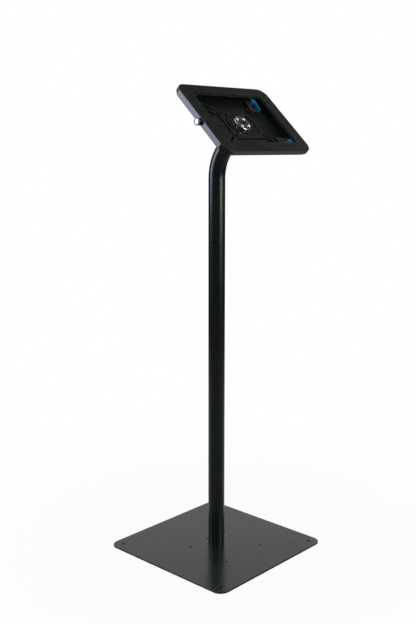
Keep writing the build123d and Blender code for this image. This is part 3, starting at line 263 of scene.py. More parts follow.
# Foot rivets: four small domed steel rivets, blacked like the plate, so that only a
# glint shows where one is.
OXIDE_BLACK = "#26272a"
OXIDE_ROUGHNESS = 0.3
# The blacking takes unevenly, in blotches of this size.
OXIDE_BLOTCH_MM = 1.4


def blank_metal(name, colour, roughness, grain_mm, spread=0.06, height_mm=0.002):
    """Plated or blacked steel: mirror-like at heart, dulled unevenly by its finish."""
    material, tree, place = new_material(name)
    grain = add(tree, "ShaderNodeTexNoise", {"Vector": place},
                {"Scale": per_metre(grain_mm), "Detail": 3.0, "Roughness": 0.55})
    gloss = add(tree, "ShaderNodeMapRange", {"Value": grain.outputs["Fac"]},
                {"From Min": NOISE_LOW, "From Max": NOISE_HIGH,
                 "To Min": roughness - spread, "To Max": roughness + spread})
    bump = add(tree, "ShaderNodeBump", {"Height": grain.outputs["Fac"]},
               {"Strength": 1.0, "Distance": height_mm / 1000})
    surface = add(tree, "ShaderNodeBsdfPrincipled",
                  {"Roughness": gloss.outputs["Result"], "Normal": bump.outputs["Normal"]},
                  {"Base Color": linear(colour), "Metallic": 1.0})
    add(tree, "ShaderNodeOutputMaterial", {"Surface": surface.outputs["BSDF"]})
    return material


black_oxide = blank_metal("Black_oxide_steel", OXIDE_BLACK, OXIDE_ROUGHNESS, OXIDE_BLOTCH_MM)
finish(black_oxide, "foot_rivets")

# Pole: one length of 42.4 mm steel tube, bent forward at the top on a mandrel, with a
# hole for the cable low on its back. It has the plate's coat, a little duller.
TUBE_ROUGHNESS = 0.26

tube_coat = powder_coat("Powder_coated_steel_tube", TUBE_ROUGHNESS)
finish(tube_coat, "pole_tube")

# Foot plug and pole screws: a turned steel plug inside the tube's lower end, and four
# countersunk screws that come up into it through the plate. They are zinc-plated.
ZINC_GREY = "#b4b7ba"
# Zinc plate is bright but never clear: its gloss comes and goes in patches of this size.
ZINC_PATCH_MM = 3.0
ZINC_ROUGHNESS = 0.36

zinc_plate = blank_metal("Zinc_plated_steel", ZINC_GREY, ZINC_ROUGHNESS, ZINC_PATCH_MM, spread=0.08)
finish(zinc_plate, "foot_plug", "pole_screws")

# Cable grommet: a soft rubber ring pushed into the hole in the back of the pole. Its
# lip lies on the tube all round, so it is bent to the tube's curve.
TUBE_RADIUS = 0.0212
TUBE_WALL = 0.002
GROMMET_BORE = 0.005
GROMMET_NECK = 0.0074
GROMMET_LIP = 0.010
GROMMET_RISE = 0.001
GROMMET_MOUTH = ((1.2, 1.0), (1.06, 0.8), (1.0, 0.3))
# A rolled lip's section, in shares of its radius and of its rise, from the foot inwards.
LIP_SECTION = ((0.97, 0.0), (1.0, 0.3), (0.985, 0.7), (0.94, 1.0))


def rolled_lip(lip_radius, bore_radius, foot, rise, mouth):
    """Outline of a sleeve's rolled lip, over its edge and down into the bore's mouth."""
    return ([(lip_radius * across, foot + rise * up) for across, up in LIP_SECTION]
            + [(bore_radius * across, foot + rise * up) for across, up in mouth])


low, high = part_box("cable_grommet")
grommet_height = (low[2] + high[2]) / 2
form = bmesh.new()
lathe(form, [(GROMMET_BORE, -TUBE_WALL), (GROMMET_NECK, -TUBE_WALL), (GROMMET_NECK, 0.0)]
      + rolled_lip(GROMMET_LIP, GROMMET_BORE, 0.0, GROMMET_RISE, GROMMET_MOUTH))
for point in form.verts:
    across, along, out = point.co
    point.co = (-math.sqrt(TUBE_RADIUS ** 2 - along ** 2) - out, along, grommet_height + across)
grommet = solid_piece(form, "pole_grommet", rubber)
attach(grommet, "stand")
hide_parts("cable_grommet")

# Head flange: a round steel plate welded square on the upper end of the tube before the
# two are coated together. The weld is a hand-laid fillet whose ripples show in the coat.
WELD_LEG = 0.0052
WELD_RIPPLES = 58
WELD_RIPPLE_HEIGHT = 0.00022
WELD_RIPPLE_SLANT = 900.0
WELD_STEPS = WELD_RIPPLES * 6
WELD_OVERLAP = 0.0003
# The fillet's hollow face, in shares of its leg: out from the tube and down from the flange.
WELD_FACE = ((1.0, 0.0), (0.62, 0.22), (0.24, 0.58), (0.0, 1.0))

finish(tube_coat, "head_flange")

swivel = next(joint for joint in frame["joints"] if joint["name"] == "head_swivel")
out_of_window = Vector(swivel["axis"]).normalized()
users_right = Vector((0.0, 1.0, 0.0))
up_the_slope = out_of_window.cross(users_right)
head_turn = Matrix((users_right, up_the_slope, out_of_window)).transposed()
HEAD = Matrix.Translation(swivel["pos_m"]) @ head_turn.to_4x4()
FROM_HEAD = HEAD.inverted()


def head_span(name):
    """Lowest and highest corner of a CAD node in the head's own frame, Z out of the window."""
    points = [FROM_HEAD @ vertex.co for vertex in nodes[name].data.vertices]
    return (Vector([min(point[axis] for point in points) for axis in range(3)]),
            Vector([max(point[axis] for point in points) for axis in range(3)]))


foot_of_weld = head_span("head_flange")[0].z
form = bmesh.new()
buried = TUBE_RADIUS - WELD_OVERLAP
lathe(form, [(buried, foot_of_weld + WELD_OVERLAP), (TUBE_RADIUS + WELD_LEG, foot_of_weld + WELD_OVERLAP)]
      + [(TUBE_RADIUS + WELD_LEG * out, foot_of_weld - WELD_LEG * down) for out, down in WELD_FACE]
      + [(buried, foot_of_weld - WELD_LEG)], steps=WELD_STEPS)
for point in form.verts:
    turn = math.atan2(point.co.y, point.co.x)
    if point.co.z < foot_of_weld:
        swell = WELD_RIPPLE_HEIGHT * math.sin(WELD_RIPPLES * turn + WELD_RIPPLE_SLANT * point.co.z)
        point.co += Vector((math.cos(turn), math.sin(turn), -1.0)) * swell
bmesh.ops.transform(form, matrix=HEAD, verts=form.verts)
weld = solid_piece(form, "flange_weld", tube_coat)
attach(weld, "stand")

# Stop pins and friction washers: two hard pins pressed in the flange, and two washers
# punched from nylon sheet that the head turns on. They are packed in graphite grease,
# which has turned the pale nylon a dull dark grey.
NYLON_GREASED = "#2e2d2b"
NYLON_WIPED = "#4a4843"
NYLON_CLOUD_MM = 6.0
NYLON_WAVE_HEIGHT_MM = 0.02
NYLON_ROUGHNESS = 0.45

finish(zinc_plate, "stop_pins")
nylon, tree, place = new_material("Greased_nylon_sheet")
cloud = add(tree, "ShaderNodeTexNoise", {"Vector": place},
            {"Scale": per_metre(NYLON_CLOUD_MM), "Detail": 3.0})
tone = add(tree, "ShaderNodeMixRGB", {"Fac": cloud.outputs["Fac"]},
           {"Color1": linear(NYLON_GREASED), "Color2": linear(NYLON_WIPED)})
bump = add(tree, "ShaderNodeBump", {"Height": cloud.outputs["Fac"]},
           {"Strength": 0.4, "Distance": NYLON_WAVE_HEIGHT_MM / 1000})
surface = add(tree, "ShaderNodeBsdfPrincipled",
              {"Base Color": tone.outputs["Color"], "Normal": bump.outputs["Normal"]},
              {"Roughness": NYLON_ROUGHNESS, "IOR": 1.53})
add(tree, "ShaderNodeOutputMaterial", {"Surface": surface.outputs["BSDF"]})
finish(nylon, "rear_washer", "front_washer")

# Swivel ring: turned from steel bar, polished and nickel-plated, so faint turning marks
# run round its face. It clamps the head to the flange and carries the cable hole.
NICKEL_WARM = "#c6c5c3"
# The marks are 0.2 mm apart, and are drawn six times as far apart to show at all.
TURNING_MARK_MM = 1.2
TURNING_MARK_HEIGHT_MM = 0.00015
NICKEL_ROUGHNESS_LEAST = 0.14
NICKEL_ROUGHNESS_MOST = 0.24

nickel, tree, place = new_material("Nickel_plated_turned_steel")
centred = add(tree, "ShaderNodeMapping", {"Vector": place},
              {"Location": FROM_HEAD.to_translation(), "Rotation": FROM_HEAD.to_euler()})
marks = add(tree, "ShaderNodeTexWave", {"Vector": centred.outputs["Vector"]},
            {"Scale": per_metre(TURNING_MARK_MM) / math.tau, "Distortion": 0.6, "Detail": 1.0},
            wave_type="RINGS", rings_direction="Z")
gloss = add(tree, "ShaderNodeMapRange", {"Value": marks.outputs["Fac"]},
            {"To Min": NICKEL_ROUGHNESS_LEAST, "To Max": NICKEL_ROUGHNESS_MOST})
bump = add(tree, "ShaderNodeBump", {"Height": marks.outputs["Fac"]},
           {"Strength": 1.0, "Distance": TURNING_MARK_HEIGHT_MM / 1000})
surface = add(tree, "ShaderNodeBsdfPrincipled",
              {"Roughness": gloss.outputs["Result"], "Normal": bump.outputs["Normal"]},
              {"Base Color": linear(NICKEL_WARM), "Metallic": 1.0})
add(tree, "ShaderNodeOutputMaterial", {"Surface": surface.outputs["BSDF"]})
finish(nickel, "swivel_ring")

# Ring screws: four button-head screws of stainless steel, cold-headed and tumbled, so
# each crown is bright and soft-edged, with a hexagon socket sunk in it.
STAINLESS = "#cfd0d2"
STAINLESS_ROUGHNESS = 0.16
# Tumbling leaves shallow dents of about this size, which break up the gloss.
TUMBLED_DENT_MM = 1.4
SCREW_TURNS = (45, 135, 225, 315)
SCREW_CIRCLE = 0.0166
SCREW_SHANK = 0.003
SCREW_HEAD = 0.00475
SCREW_STEPS = 48
CROWN_STEPS = 9
SOCKET_HALF_FLATS = 0.002
SOCKET_DEPTH = 0.0013
SOCKET_CONE = SOCKET_DEPTH / 4

stainless = blank_metal("Tumbled_stainless_steel", STAINLESS, STAINLESS_ROUGHNESS, TUMBLED_DENT_MM,
                        spread=0.03)
screws_low, screws_high = head_span("ring_screws")
ring_front = head_span("swivel_ring")[1].z
rise = screws_high.z - ring_front
crown_centre = (SOCKET_HALF_FLATS ** 2 + rise ** 2 - SCREW_HEAD ** 2) / (2 * rise)
crown_radius = math.hypot(SCREW_HEAD, crown_centre)
crown_half = math.asin(SCREW_HEAD / crown_radius)
socket_half = math.asin(SOCKET_HALF_FLATS / crown_radius)
crown = []
for step in range(CROWN_STEPS + 1):
    slope = crown_half + (socket_half - crown_half) * step / CROWN_STEPS
    crown.append((crown_radius * math.sin(slope),
                  ring_front + crown_centre + crown_radius * math.cos(slope)))
socket_floor = crown[-1][1] - SOCKET_DEPTH
form = bmesh.new()
lathe(form, [(0.0, screws_low.z), (SCREW_SHANK, screws_low.z), (SCREW_SHANK, ring_front)] + crown
      + [(SOCKET_HALF_FLATS, socket_floor), (0.0, socket_floor - SOCKET_CONE)],
      steps=SCREW_STEPS, closed=False)
# The socket is spun round at first, and its wall is then pushed out to six flats.
for point in form.verts:
    if abs(math.hypot(point.co.x, point.co.y) - SOCKET_HALF_FLATS) < SEAM_GAP:
        turn = math.atan2(point.co.y, point.co.x)
        flat = math.cos((turn + math.pi / 6) % (math.pi / 3) - math.pi / 6)
        point.co.x, point.co.y = point.co.x / flat, point.co.y / flat
screw = everything_in(form)
for turn in SCREW_TURNS:
    in_place = Matrix.Rotation(math.radians(turn), 4, "Z") @ Matrix.Translation((SCREW_CIRCLE, 0, 0))
    copy = bmesh.ops.duplicate(form, geom=screw)["geom"]
    bmesh.ops.transform(form, matrix=in_place, verts=points_of(copy))
bmesh.ops.delete(form, geom=points_of(screw), context="VERTS")
bmesh.ops.transform(form, matrix=HEAD, verts=form.verts)
buttons = solid_piece(form, "button_screws", stainless)
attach(buttons, "stand")
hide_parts("ring_screws")

# Cable bushing: a moulded rubber sleeve through the ring with a rolled lip in front,
# which keeps the cable off the metal.
BUSHING_BORE = 0.005
BUSHING_SLEEVE = 0.007
BUSHING_LIP = 0.0095
BUSHING_MOUTH = ((1.22, 1.0), (1.07, 0.75), (1.0, 0.2))

bushing_low, bushing_high = head_span("cable_bushing")
form = bmesh.new()
lathe(form, [(BUSHING_BORE, bushing_low.z), (BUSHING_SLEEVE, bushing_low.z), (BUSHING_SLEEVE, ring_front)]
      + rolled_lip(BUSHING_LIP, BUSHING_BORE, ring_front, bushing_high.z - ring_front, BUSHING_MOUTH))
bmesh.ops.transform(form, matrix=HEAD, verts=form.verts)
bushing = solid_piece(form, "ring_bushing", rubber)
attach(bushing, "stand")
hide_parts("cable_bushing")

# Rear shell: a pan pressed from 1.5 mm steel sheet, with a ledge, a deeper floor and
# stiffening beads. Its coat is a shade duller than the pole's.
SHEET_ROUGHNESS = 0.3

sheet_coat = powder_coat("Powder_coated_pressed_sheet", SHEET_ROUGHNESS)
finish(sheet_coat, "rear_shell")

# Swivel plate and corner rails: flat and folded steel riveted on the floor of the pan,
# with curved slots for the stop pins and straight ones for the corner holders.
finish(sheet_coat, "swivel_plate", *[name for name in nodes if name.endswith("_rail")])

# Floor rivets: steel rivets blacked after setting, domed in the plate and sunk flush in
# the rails so that the holders pass over them.
finish(black_oxide, "plate_rivets", "rail_rivets")

# Lid hinge: two leaves of coated steel, rolled round a bright steel pin, riveted to the
# pan's ledge and screwed to the lid's side.
finish(sheet_coat, "shell_hinge_leaf", "lid_hinge_leaf")
finish(zinc_plate, "hinge_pin")
finish(black_oxide, "shell_hinge_rivets", "lid_hinge_screws")

# Cam lock: a die-cast housing and plug, copper-flashed and chrome-plated, held behind
# the wall by a spring-steel clip, with a zinc-plated cam and strike. The plug is polished,
# and the housing with the rolled rim round it is left satin. Its chrome is also darkened
# to grey, as painted shade for the dark room that the rim mirrors.
CHROME_BLUE = "#d9dbe0"
# This grey is painted shade: chrome darkened to stand for the dark room that the housing's rim mirrors.
CHROME_PAINTED_SHADE = "#6c6f77"
POLISHED_ROUGHNESS = 0.09
SATIN_ROUGHNESS = 0.2
# A casting is never quite even under its plating: its gloss swells and fades over this length.
CHROME_SWELL_MM = 5.0
RIM_INNER = 0.0060
RIM_OUTER = 0.0089
RIM_RISE = 0.0011
RIM_STEPS = 16
CAP_RADIUS = 0.0053
CAP_RISE = 0.0008
CAP_WALL_SHARE = 0.3
CAP_STEPS = 10
KEYWAY_HALF_LENGTH = 0.0027
KEYWAY_HALF_WIDTH = 0.00055
KEYWAY_DEPTH = 0.0006
KEYWAY_TURN = -8.0

chrome = blank_metal("Chrome_plated_die_casting", CHROME_BLUE, POLISHED_ROUGHNESS, CHROME_SWELL_MM,
                     spread=0.03)
finish(chrome, "lock_plug")
satin_chrome_painted_shade = blank_metal("Satin_chrome_with_painted_shade", CHROME_PAINTED_SHADE, SATIN_ROUGHNESS, CHROME_SWELL_MM)
finish(satin_chrome_painted_shade, "lock_housing")
finish(zinc_plate, "lock_clip", "lock_cam", "cam_screw", "lock_strike")

lock = next(joint for joint in frame["joints"] if joint["name"] == "lock_turn")
face_of_lock = Vector((lock["pos_m"][0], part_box("lock_housing")[0][1], lock["pos_m"][2]))
on_lock = Matrix.Translation(face_of_lock) @ Matrix.Rotation(math.pi / 2, 4, "X")
half = (RIM_OUTER - RIM_INNER) / 2
form = bmesh.new()
lathe(form, [((RIM_INNER + RIM_OUTER) / 2 - half * math.cos(turn), RIM_RISE * math.sin(turn))
             for turn in [math.pi * step / RIM_STEPS for step in range(RIM_STEPS + 1)]])
bmesh.ops.transform(form, matrix=on_lock, verts=form.verts)
rim = solid_piece(form, "lock_rim", satin_chrome_painted_shade)
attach(rim, "head")

form = bmesh.new()
lathe(form, [(0.0, 0.0), (CAP_RADIUS, 0.0)]
      + [(CAP_RADIUS * math.cos(turn), CAP_RISE * (CAP_WALL_SHARE + (1 - CAP_WALL_SHARE) * math.sin(turn)))
         for turn in [math.pi / 2 * step / CAP_STEPS for step in range(CAP_STEPS + 1)]], closed=False)
bmesh.ops.remove_doubles(form, verts=form.verts, dist=SEAM_GAP)
for across, reach in ((Vector((1, 0, 0)), KEYWAY_HALF_WIDTH), (Vector((0, 1, 0)), KEYWAY_HALF_LENGTH)):
    for side in (-1, 1):
        bmesh.ops.bisect_plane(form, geom=everything_in(form), plane_co=across * side * reach,
                               plane_no=across)
keyway = [face for face in form.faces if face.calc_center_median().z > CAP_RISE * CAP_WALL_SHARE
          and abs(face.calc_center_median().x) < KEYWAY_HALF_WIDTH
          and abs(face.calc_center_median().y) < KEYWAY_HALF_LENGTH]
sunk = bmesh.ops.extrude_face_region(form, geom=keyway)["geom"]
bmesh.ops.translate(form, verts=points_of(sunk), vec=(0, 0, -KEYWAY_DEPTH))
bmesh.ops.delete(form, geom=keyway, context="FACES")
bmesh.ops.rotate(form, verts=form.verts, cent=(0, 0, 0),
                 matrix=Matrix.Rotation(math.radians(KEYWAY_TURN), 3, "Z"))
bmesh.ops.transform(form, matrix=on_lock, verts=form.verts)
cap = solid_piece(form, "plug_cap", chrome)
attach(cap, "lock")

# Front frame: the lid, folded and welded from 2 mm steel sheet, ground smooth at its
# corners and coated, with the liner of its window welded behind it.
FRAME_ROUGHNESS = 0.25
# The liner's coat is drawn lighter than the frame's. This is painted light, for the light that falls on its
# wall inside the window.
LINER_PAINTED_LIGHT_LOW = "#42423f"
LINER_PAINTED_LIGHT_HIGH = "#4d4c48"

finish(powder_coat("Powder_coated_front_frame", FRAME_ROUGHNESS), "front_frame")
finish(powder_coat("Liner_coat_with_painted_light", FRAME_ROUGHNESS, LINER_PAINTED_LIGHT_LOW, LINER_PAINTED_LIGHT_HIGH), "window_liner")

# Window gasket: a self-adhesive strip of closed-cell foam round the back of the liner,
# die-cut in one piece, that the tablet's glass lies against.
FOAM_BLACK = "#161617"
FOAM_GREY = "#29292a"
# The cells pit its dull black skin. They are about 0.3 mm across, and are drawn about twice
# as large to show.
FOAM_CELL_MM = 0.7
FOAM_CELL_HEIGHT_MM = 0.08
FOAM_ROUGHNESS = 0.9
GASKET_STRIP = 0.006
GASKET_OUTER_CORNER = 0.015
GASKET_CORNER_STEPS = 10
GASKET_EDGE = 0.0003
GASKET_EDGE_STEPS = 2
SQUARE_EDGE = math.radians(60)

foam, tree, place = new_material("Closed_cell_foam")
cells = add(tree, "ShaderNodeTexVoronoi", {"Vector": place}, {"Scale": per_metre(FOAM_CELL_MM)})
tone = add(tree, "ShaderNodeMixRGB", {"Fac": cells.outputs["Distance"]},
           {"Color1": linear(FOAM_BLACK), "Color2": linear(FOAM_GREY)})
bump = add(tree, "ShaderNodeBump", {"Height": cells.outputs["Distance"]},
           {"Strength": 0.8, "Distance": FOAM_CELL_HEIGHT_MM / 1000})
surface = add(tree, "ShaderNodeBsdfPrincipled",
              {"Base Color": tone.outputs["Color"], "Normal": bump.outputs["Normal"]},
              {"Roughness": FOAM_ROUGHNESS, "IOR": 1.4})
add(tree, "ShaderNodeOutputMaterial", {"Surface": surface.outputs["BSDF"]})

gasket_low, gasket_high = head_span("window_gasket")
form = bmesh.new()
bmesh.ops.create_grid(form, x_segments=1, y_segments=1, size=0.5)
bmesh.ops.scale(form, vec=(gasket_high.x - gasket_low.x, gasket_high.y - gasket_low.y, 1.0), verts=form.verts)
bmesh.ops.bevel(form, geom=form.verts[:], offset=GASKET_OUTER_CORNER, offset_type="OFFSET",
                segments=GASKET_CORNER_STEPS, profile=0.5, affect="VERTICES", material=-1)
window = form.faces[:]
bmesh.ops.inset_region(form, faces=window, thickness=GASKET_STRIP, use_even_offset=True, use_boundary=True)
bmesh.ops.delete(form, geom=window, context="FACES")
strip = form.faces[:]
raised = bmesh.ops.extrude_face_region(form, geom=strip)["geom"]
bmesh.ops.translate(form, verts=points_of(raised), vec=(0, 0, gasket_high.z - gasket_low.z))
bmesh.ops.recalc_face_normals(form, faces=form.faces)
rims = [edge for edge in form.edges if edge.calc_face_angle(0.0) > SQUARE_EDGE]
bmesh.ops.bevel(form, geom=rims, offset=GASKET_EDGE, offset_type="OFFSET",
                segments=GASKET_EDGE_STEPS, profile=0.5, affect="EDGES", material=-1)
bmesh.ops.translate(form, verts=form.verts, vec=((gasket_low.x + gasket_high.x) / 2,
                                                 (gasket_low.y + gasket_high.y) / 2, gasket_low.z))
bmesh.ops.transform(form, matrix=HEAD, verts=form.verts)
gasket = solid_piece(form, "foam_gasket", foam)
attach(gasket, "lid")
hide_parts("window_gasket")

# Corner pads: soft blue silicone, moulded in an L with one long thin leg and one short
# thick head, grooved all round so that it gives a little against the tablet's edge.
SILICONE_BLUE = "#0c6587"
SILICONE_LIGHT = "#127298"
SILICONE_CLOUD_MM = 9.0
# Silicone is matt, with a fine mould grain drawn coarser than its real 0.2 mm, and it lets
# in a little light, so that its edges look soft.
SILICONE_GRAIN_MM = 0.6
SILICONE_GRAIN_HEIGHT_MM = 0.02
SILICONE_ROUGHNESS = 0.5
PAD_INNER = 0.0052
PAD_LEG = 0.0045
PAD_HEAD = 0.016
PAD_HEAD_LENGTH = 0.014
PAD_LEG_LENGTH = 0.041
PAD_OUTER_CORNER = 0.004
PAD_OUTER_STEPS = 8
PAD_SMALL_CORNER = 0.0008
PAD_SMALL_STEPS = 3
PAD_TOP_EDGE = 0.0011
PAD_FOOT_EDGE = 0.0003
PAD_EDGE_STEPS = 4
PAD_GROOVES = (0.3, 0.5, 0.7)
PAD_GROOVE_HALF_WIDTH = 0.0003
PAD_GROOVE_DEPTH = 0.00025
PAD_TURNS = {"upper_right": -13.0, "lower_right": -90.0, "upper_left": 90.0, "lower_left": 180.0}

silicone, tree, place = new_material("Moulded_blue_silicone")
cloud = add(tree, "ShaderNodeTexNoise", {"Vector": place},
            {"Scale": per_metre(SILICONE_CLOUD_MM), "Detail": 2.0})
grain = add(tree, "ShaderNodeTexNoise", {"Vector": place},
            {"Scale": per_metre(SILICONE_GRAIN_MM), "Detail": 2.0})
tone = add(tree, "ShaderNodeMixRGB", {"Fac": cloud.outputs["Fac"]},
           {"Color1": linear(SILICONE_BLUE), "Color2": linear(SILICONE_LIGHT)})
bump = add(tree, "ShaderNodeBump", {"Height": grain.outputs["Fac"]},
           {"Strength": 0.6, "Distance": SILICONE_GRAIN_HEIGHT_MM / 1000})
surface = add(tree, "ShaderNodeBsdfPrincipled",
              {"Base Color": tone.outputs["Color"], "Normal": bump.outputs["Normal"]},
              {"Roughness": SILICONE_ROUGHNESS, "IOR": 1.43,
               "Subsurface Weight": 0.15, "Subsurface Scale": 0.001})
add(tree, "ShaderNodeOutputMaterial", {"Surface": surface.outputs["BSDF"]})


def pad_form(height):
    """One pad, standing on Z = 0 with its clamp screw on the Z axis."""
    form = bmesh.new()
    right = PAD_INNER + PAD_LEG
    top = PAD_INNER + PAD_HEAD
    left = right - PAD_HEAD_LENGTH
    leg_end = top - PAD_LEG_LENGTH
    outline = [(PAD_INNER, leg_end), (right, leg_end), (right, top), (left, top),
               (left, PAD_INNER), (PAD_INNER, PAD_INNER)]
    leg_inner, leg_outer, heel, toe, toe_inner, crook = [form.verts.new((x, y, 0.0)) for x, y in outline]
    form.faces.new((leg_inner, leg_outer, heel, toe, toe_inner, crook))
    for corner in (heel, leg_inner, leg_outer, toe, toe_inner):
        radius = PAD_OUTER_CORNER if corner is heel else PAD_SMALL_CORNER
        steps = PAD_OUTER_STEPS if corner is heel else PAD_SMALL_STEPS
        bmesh.ops.bevel(form, geom=[corner], offset=radius, offset_type="OFFSET", segments=steps,
                        profile=0.5, affect="VERTICES", material=-1)
    raised = bmesh.ops.extrude_face_region(form, geom=form.faces[:])["geom"]
    bmesh.ops.translate(form, verts=points_of(raised), vec=(0, 0, height))
    for level, rounding in ((height, PAD_TOP_EDGE), (0.0, PAD_FOOT_EDGE)):
        rim = [edge for edge in form.edges
               if all(abs(vertex.co.z - level) < SEAM_GAP for vertex in edge.verts)]
        bmesh.ops.bevel(form, geom=rim, offset=rounding, offset_type="OFFSET", segments=PAD_EDGE_STEPS,
                        profile=0.5, affect="EDGES", material=-1, clamp_overlap=True)
    for share in PAD_GROOVES:
        middle = height * share
        for level in (middle - PAD_GROOVE_HALF_WIDTH, middle + PAD_GROOVE_HALF_WIDTH):
            bmesh.ops.bisect_plane(form, geom=everything_in(form), plane_co=(0, 0, level),
                                   plane_no=(0, 0, 1))
        band = [face for face in form.faces
                if abs(face.calc_center_median().z - middle) < PAD_GROOVE_HALF_WIDTH / 2]
        bmesh.ops.recalc_face_normals(form, faces=form.faces)
        bmesh.ops.inset_region(form, faces=band, thickness=0.0, depth=-PAD_GROOVE_DEPTH,
                               use_even_offset=True)
    return form


for corner, turn in PAD_TURNS.items():
    pad_low, pad_high = head_span(f"{corner}_pad")
    screw_low, screw_high = head_span(f"{corner}_clamp_screw")
    middle = (screw_low + screw_high) / 2
    form = pad_form(pad_high.z - pad_low.z)
    on_screw = Matrix.Translation((middle.x, middle.y, pad_low.z))
    turned = Matrix.Rotation(math.radians(turn), 4, "Z")
    bmesh.ops.transform(form, matrix=HEAD @ (on_screw @ turned), verts=form.verts)
    pad = solid_piece(form, f"{corner}_silicone_pad", silicone)
    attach(pad, f"{corner}_holder")
    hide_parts(f"{corner}_pad")

# Carriages, clamp screws and nuts: glass-filled nylon mouldings with a spark-eroded
# texture, clamped to the rails by blacked countersunk screws in square zinc-plated nuts.
MOULDING_BLACK = "#1c1c1d"
MOULDING_GREY = "#242425"
# The eroded texture is about 0.15 mm, and is drawn coarser to show as a dry, dull face.
MOULDING_TEXTURE_MM = 0.8
MOULDING_TEXTURE_HEIGHT_MM = 0.04
MOULDING_ROUGHNESS = 0.55

moulding, tree, place = new_material("Glass_filled_nylon")
spark = add(tree, "ShaderNodeTexNoise", {"Vector": place},
            {"Scale": per_metre(MOULDING_TEXTURE_MM), "Detail": 4.0})
tone = add(tree, "ShaderNodeMixRGB", {"Fac": spark.outputs["Fac"]},
           {"Color1": linear(MOULDING_BLACK), "Color2": linear(MOULDING_GREY)})
bump = add(tree, "ShaderNodeBump", {"Height": spark.outputs["Fac"]},
           {"Strength": 1.0, "Distance": MOULDING_TEXTURE_HEIGHT_MM / 1000})
surface = add(tree, "ShaderNodeBsdfPrincipled",
              {"Base Color": tone.outputs["Color"], "Normal": bump.outputs["Normal"]},
              {"Roughness": MOULDING_ROUGHNESS, "IOR": 1.53})
add(tree, "ShaderNodeOutputMaterial", {"Surface": surface.outputs["BSDF"]})
for corner in PAD_TURNS:
    finish(moulding, f"{corner}_carriage")
    finish(black_oxide, f"{corner}_clamp_screw")
    finish(zinc_plate, f"{corner}_clamp_nut")

# Studio floor: white paper. It gives back less light than it shows, as a paper sweep in a
# dark studio does, and it brightens to plain white away from the stand.
FLOOR_SIZE = 30.0
FLOOR_DROP = 0.0002
PAPER_SHARE = 0.93
PAPER_NEAR = 0.25
PAPER_FAR = 1.1
PAPER_LIT = "#7c7c7c"
PAPER_SEEN = "#f6f6f6"
PLAIN_WHITE = "#ffffff"
# What gloss mirrors of the paper: dim before the stand, brighter behind it, dark far away.
MIRRORED_BEFORE = 0.05
MIRRORED_BEHIND = 0.45
MIRRORED_FAR = 0.05
MIRROR_TURN_START = -0.6
MIRROR_TURN_END = 0.8
MIRROR_FADE_START = 1.3
MIRROR_FADE_END = 2.4
BEHIND = (CAMERA_AIM - CAMERA_PLACE).normalized()

form = bmesh.new()
bmesh.ops.create_grid(form, x_segments=1, y_segments=1, size=FLOOR_SIZE / 2)
floor_mesh = bpy.data.meshes.new("studio_floor")
form.to_mesh(floor_mesh)
form.free()
floor = bpy.data.objects.new("studio_floor", floor_mesh)
bpy.context.scene.collection.objects.link(floor)
floor.location.z = -FLOOR_DROP
floor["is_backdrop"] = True

paper, tree, place = new_material("White_studio_paper")
path = add(tree, "ShaderNodeLightPath")
away = add(tree, "ShaderNodeVectorMath", {0: place}, operation="LENGTH")
share = add(tree, "ShaderNodeMapRange", {"Value": away.outputs["Value"]},
            {"From Min": PAPER_NEAR, "From Max": PAPER_FAR, "To Min": PAPER_SHARE, "To Max": 1.0})
bearing = add(tree, "ShaderNodeVectorMath", {0: place}, operation="NORMALIZE")
toward = add(tree, "ShaderNodeVectorMath", {0: bearing.outputs["Vector"]}, {1: (BEHIND.x, BEHIND.y, 0.0)},
             operation="DOT_PRODUCT")
behind = add(tree, "ShaderNodeMapRange", {"Value": toward.outputs["Value"]},
             {"From Min": MIRROR_TURN_START, "From Max": MIRROR_TURN_END,
              "To Min": MIRRORED_BEFORE, "To Max": MIRRORED_BEHIND})
distant = add(tree, "ShaderNodeMapRange", {"Value": away.outputs["Value"]},
              {"From Min": MIRROR_FADE_START, "From Max": MIRROR_FADE_END,
               "To Min": 1.0, "To Max": MIRRORED_FAR})
mirrored = add(tree, "ShaderNodeMath", {0: behind.outputs["Result"], 1: distant.outputs["Result"]},
               operation="MULTIPLY")
mirrored = add(tree, "ShaderNodeMath", {0: mirrored.outputs[0], 1: path.outputs["Is Glossy Ray"]},
               operation="MULTIPLY")
seen = add(tree, "ShaderNodeMath", {0: path.outputs["Is Camera Ray"], 1: path.outputs["Is Transmission Ray"]},
           operation="MAXIMUM")
seen = add(tree, "ShaderNodeMath", {0: seen.outputs[0], 1: share.outputs["Result"]}, operation="MULTIPLY")
seen = add(tree, "ShaderNodeMath", {0: seen.outputs[0], 1: mirrored.outputs[0]}, operation="MAXIMUM")
tone = add(tree, "ShaderNodeMixRGB", {"Fac": path.outputs["Is Camera Ray"]},
           {"Color1": linear(PAPER_LIT), "Color2": linear(PAPER_SEEN)})
matt = add(tree, "ShaderNodeBsdfDiffuse", {"Color": tone.outputs["Color"]})
glow = add(tree, "ShaderNodeEmission", None, {"Color": linear(PLAIN_WHITE), "Strength": 1.0})
both = add(tree, "ShaderNodeMixShader", {0: seen.outputs[0], 1: matt.outputs[0], 2: glow.outputs[0]})
add(tree, "ShaderNodeOutputMaterial", {"Surface": both.outputs[0]})
floor_mesh.materials.append(paper)

# Studio room: white where the camera looks, and a low white wall behind the stand for
# the gloss to mirror; the rest of the room is dim.
ROOM_DIM = 0.08
WALL_FOOT_START = 0.12
WALL_FOOT_END = 0.3
WALL_TOP_START = 0.44
WALL_TOP_END = 0.56
WALL_BRIGHTNESS = 0.85
WALL_BEFORE = 0.25
WALL_TURN_START = -0.3
WALL_TURN_END = 0.75

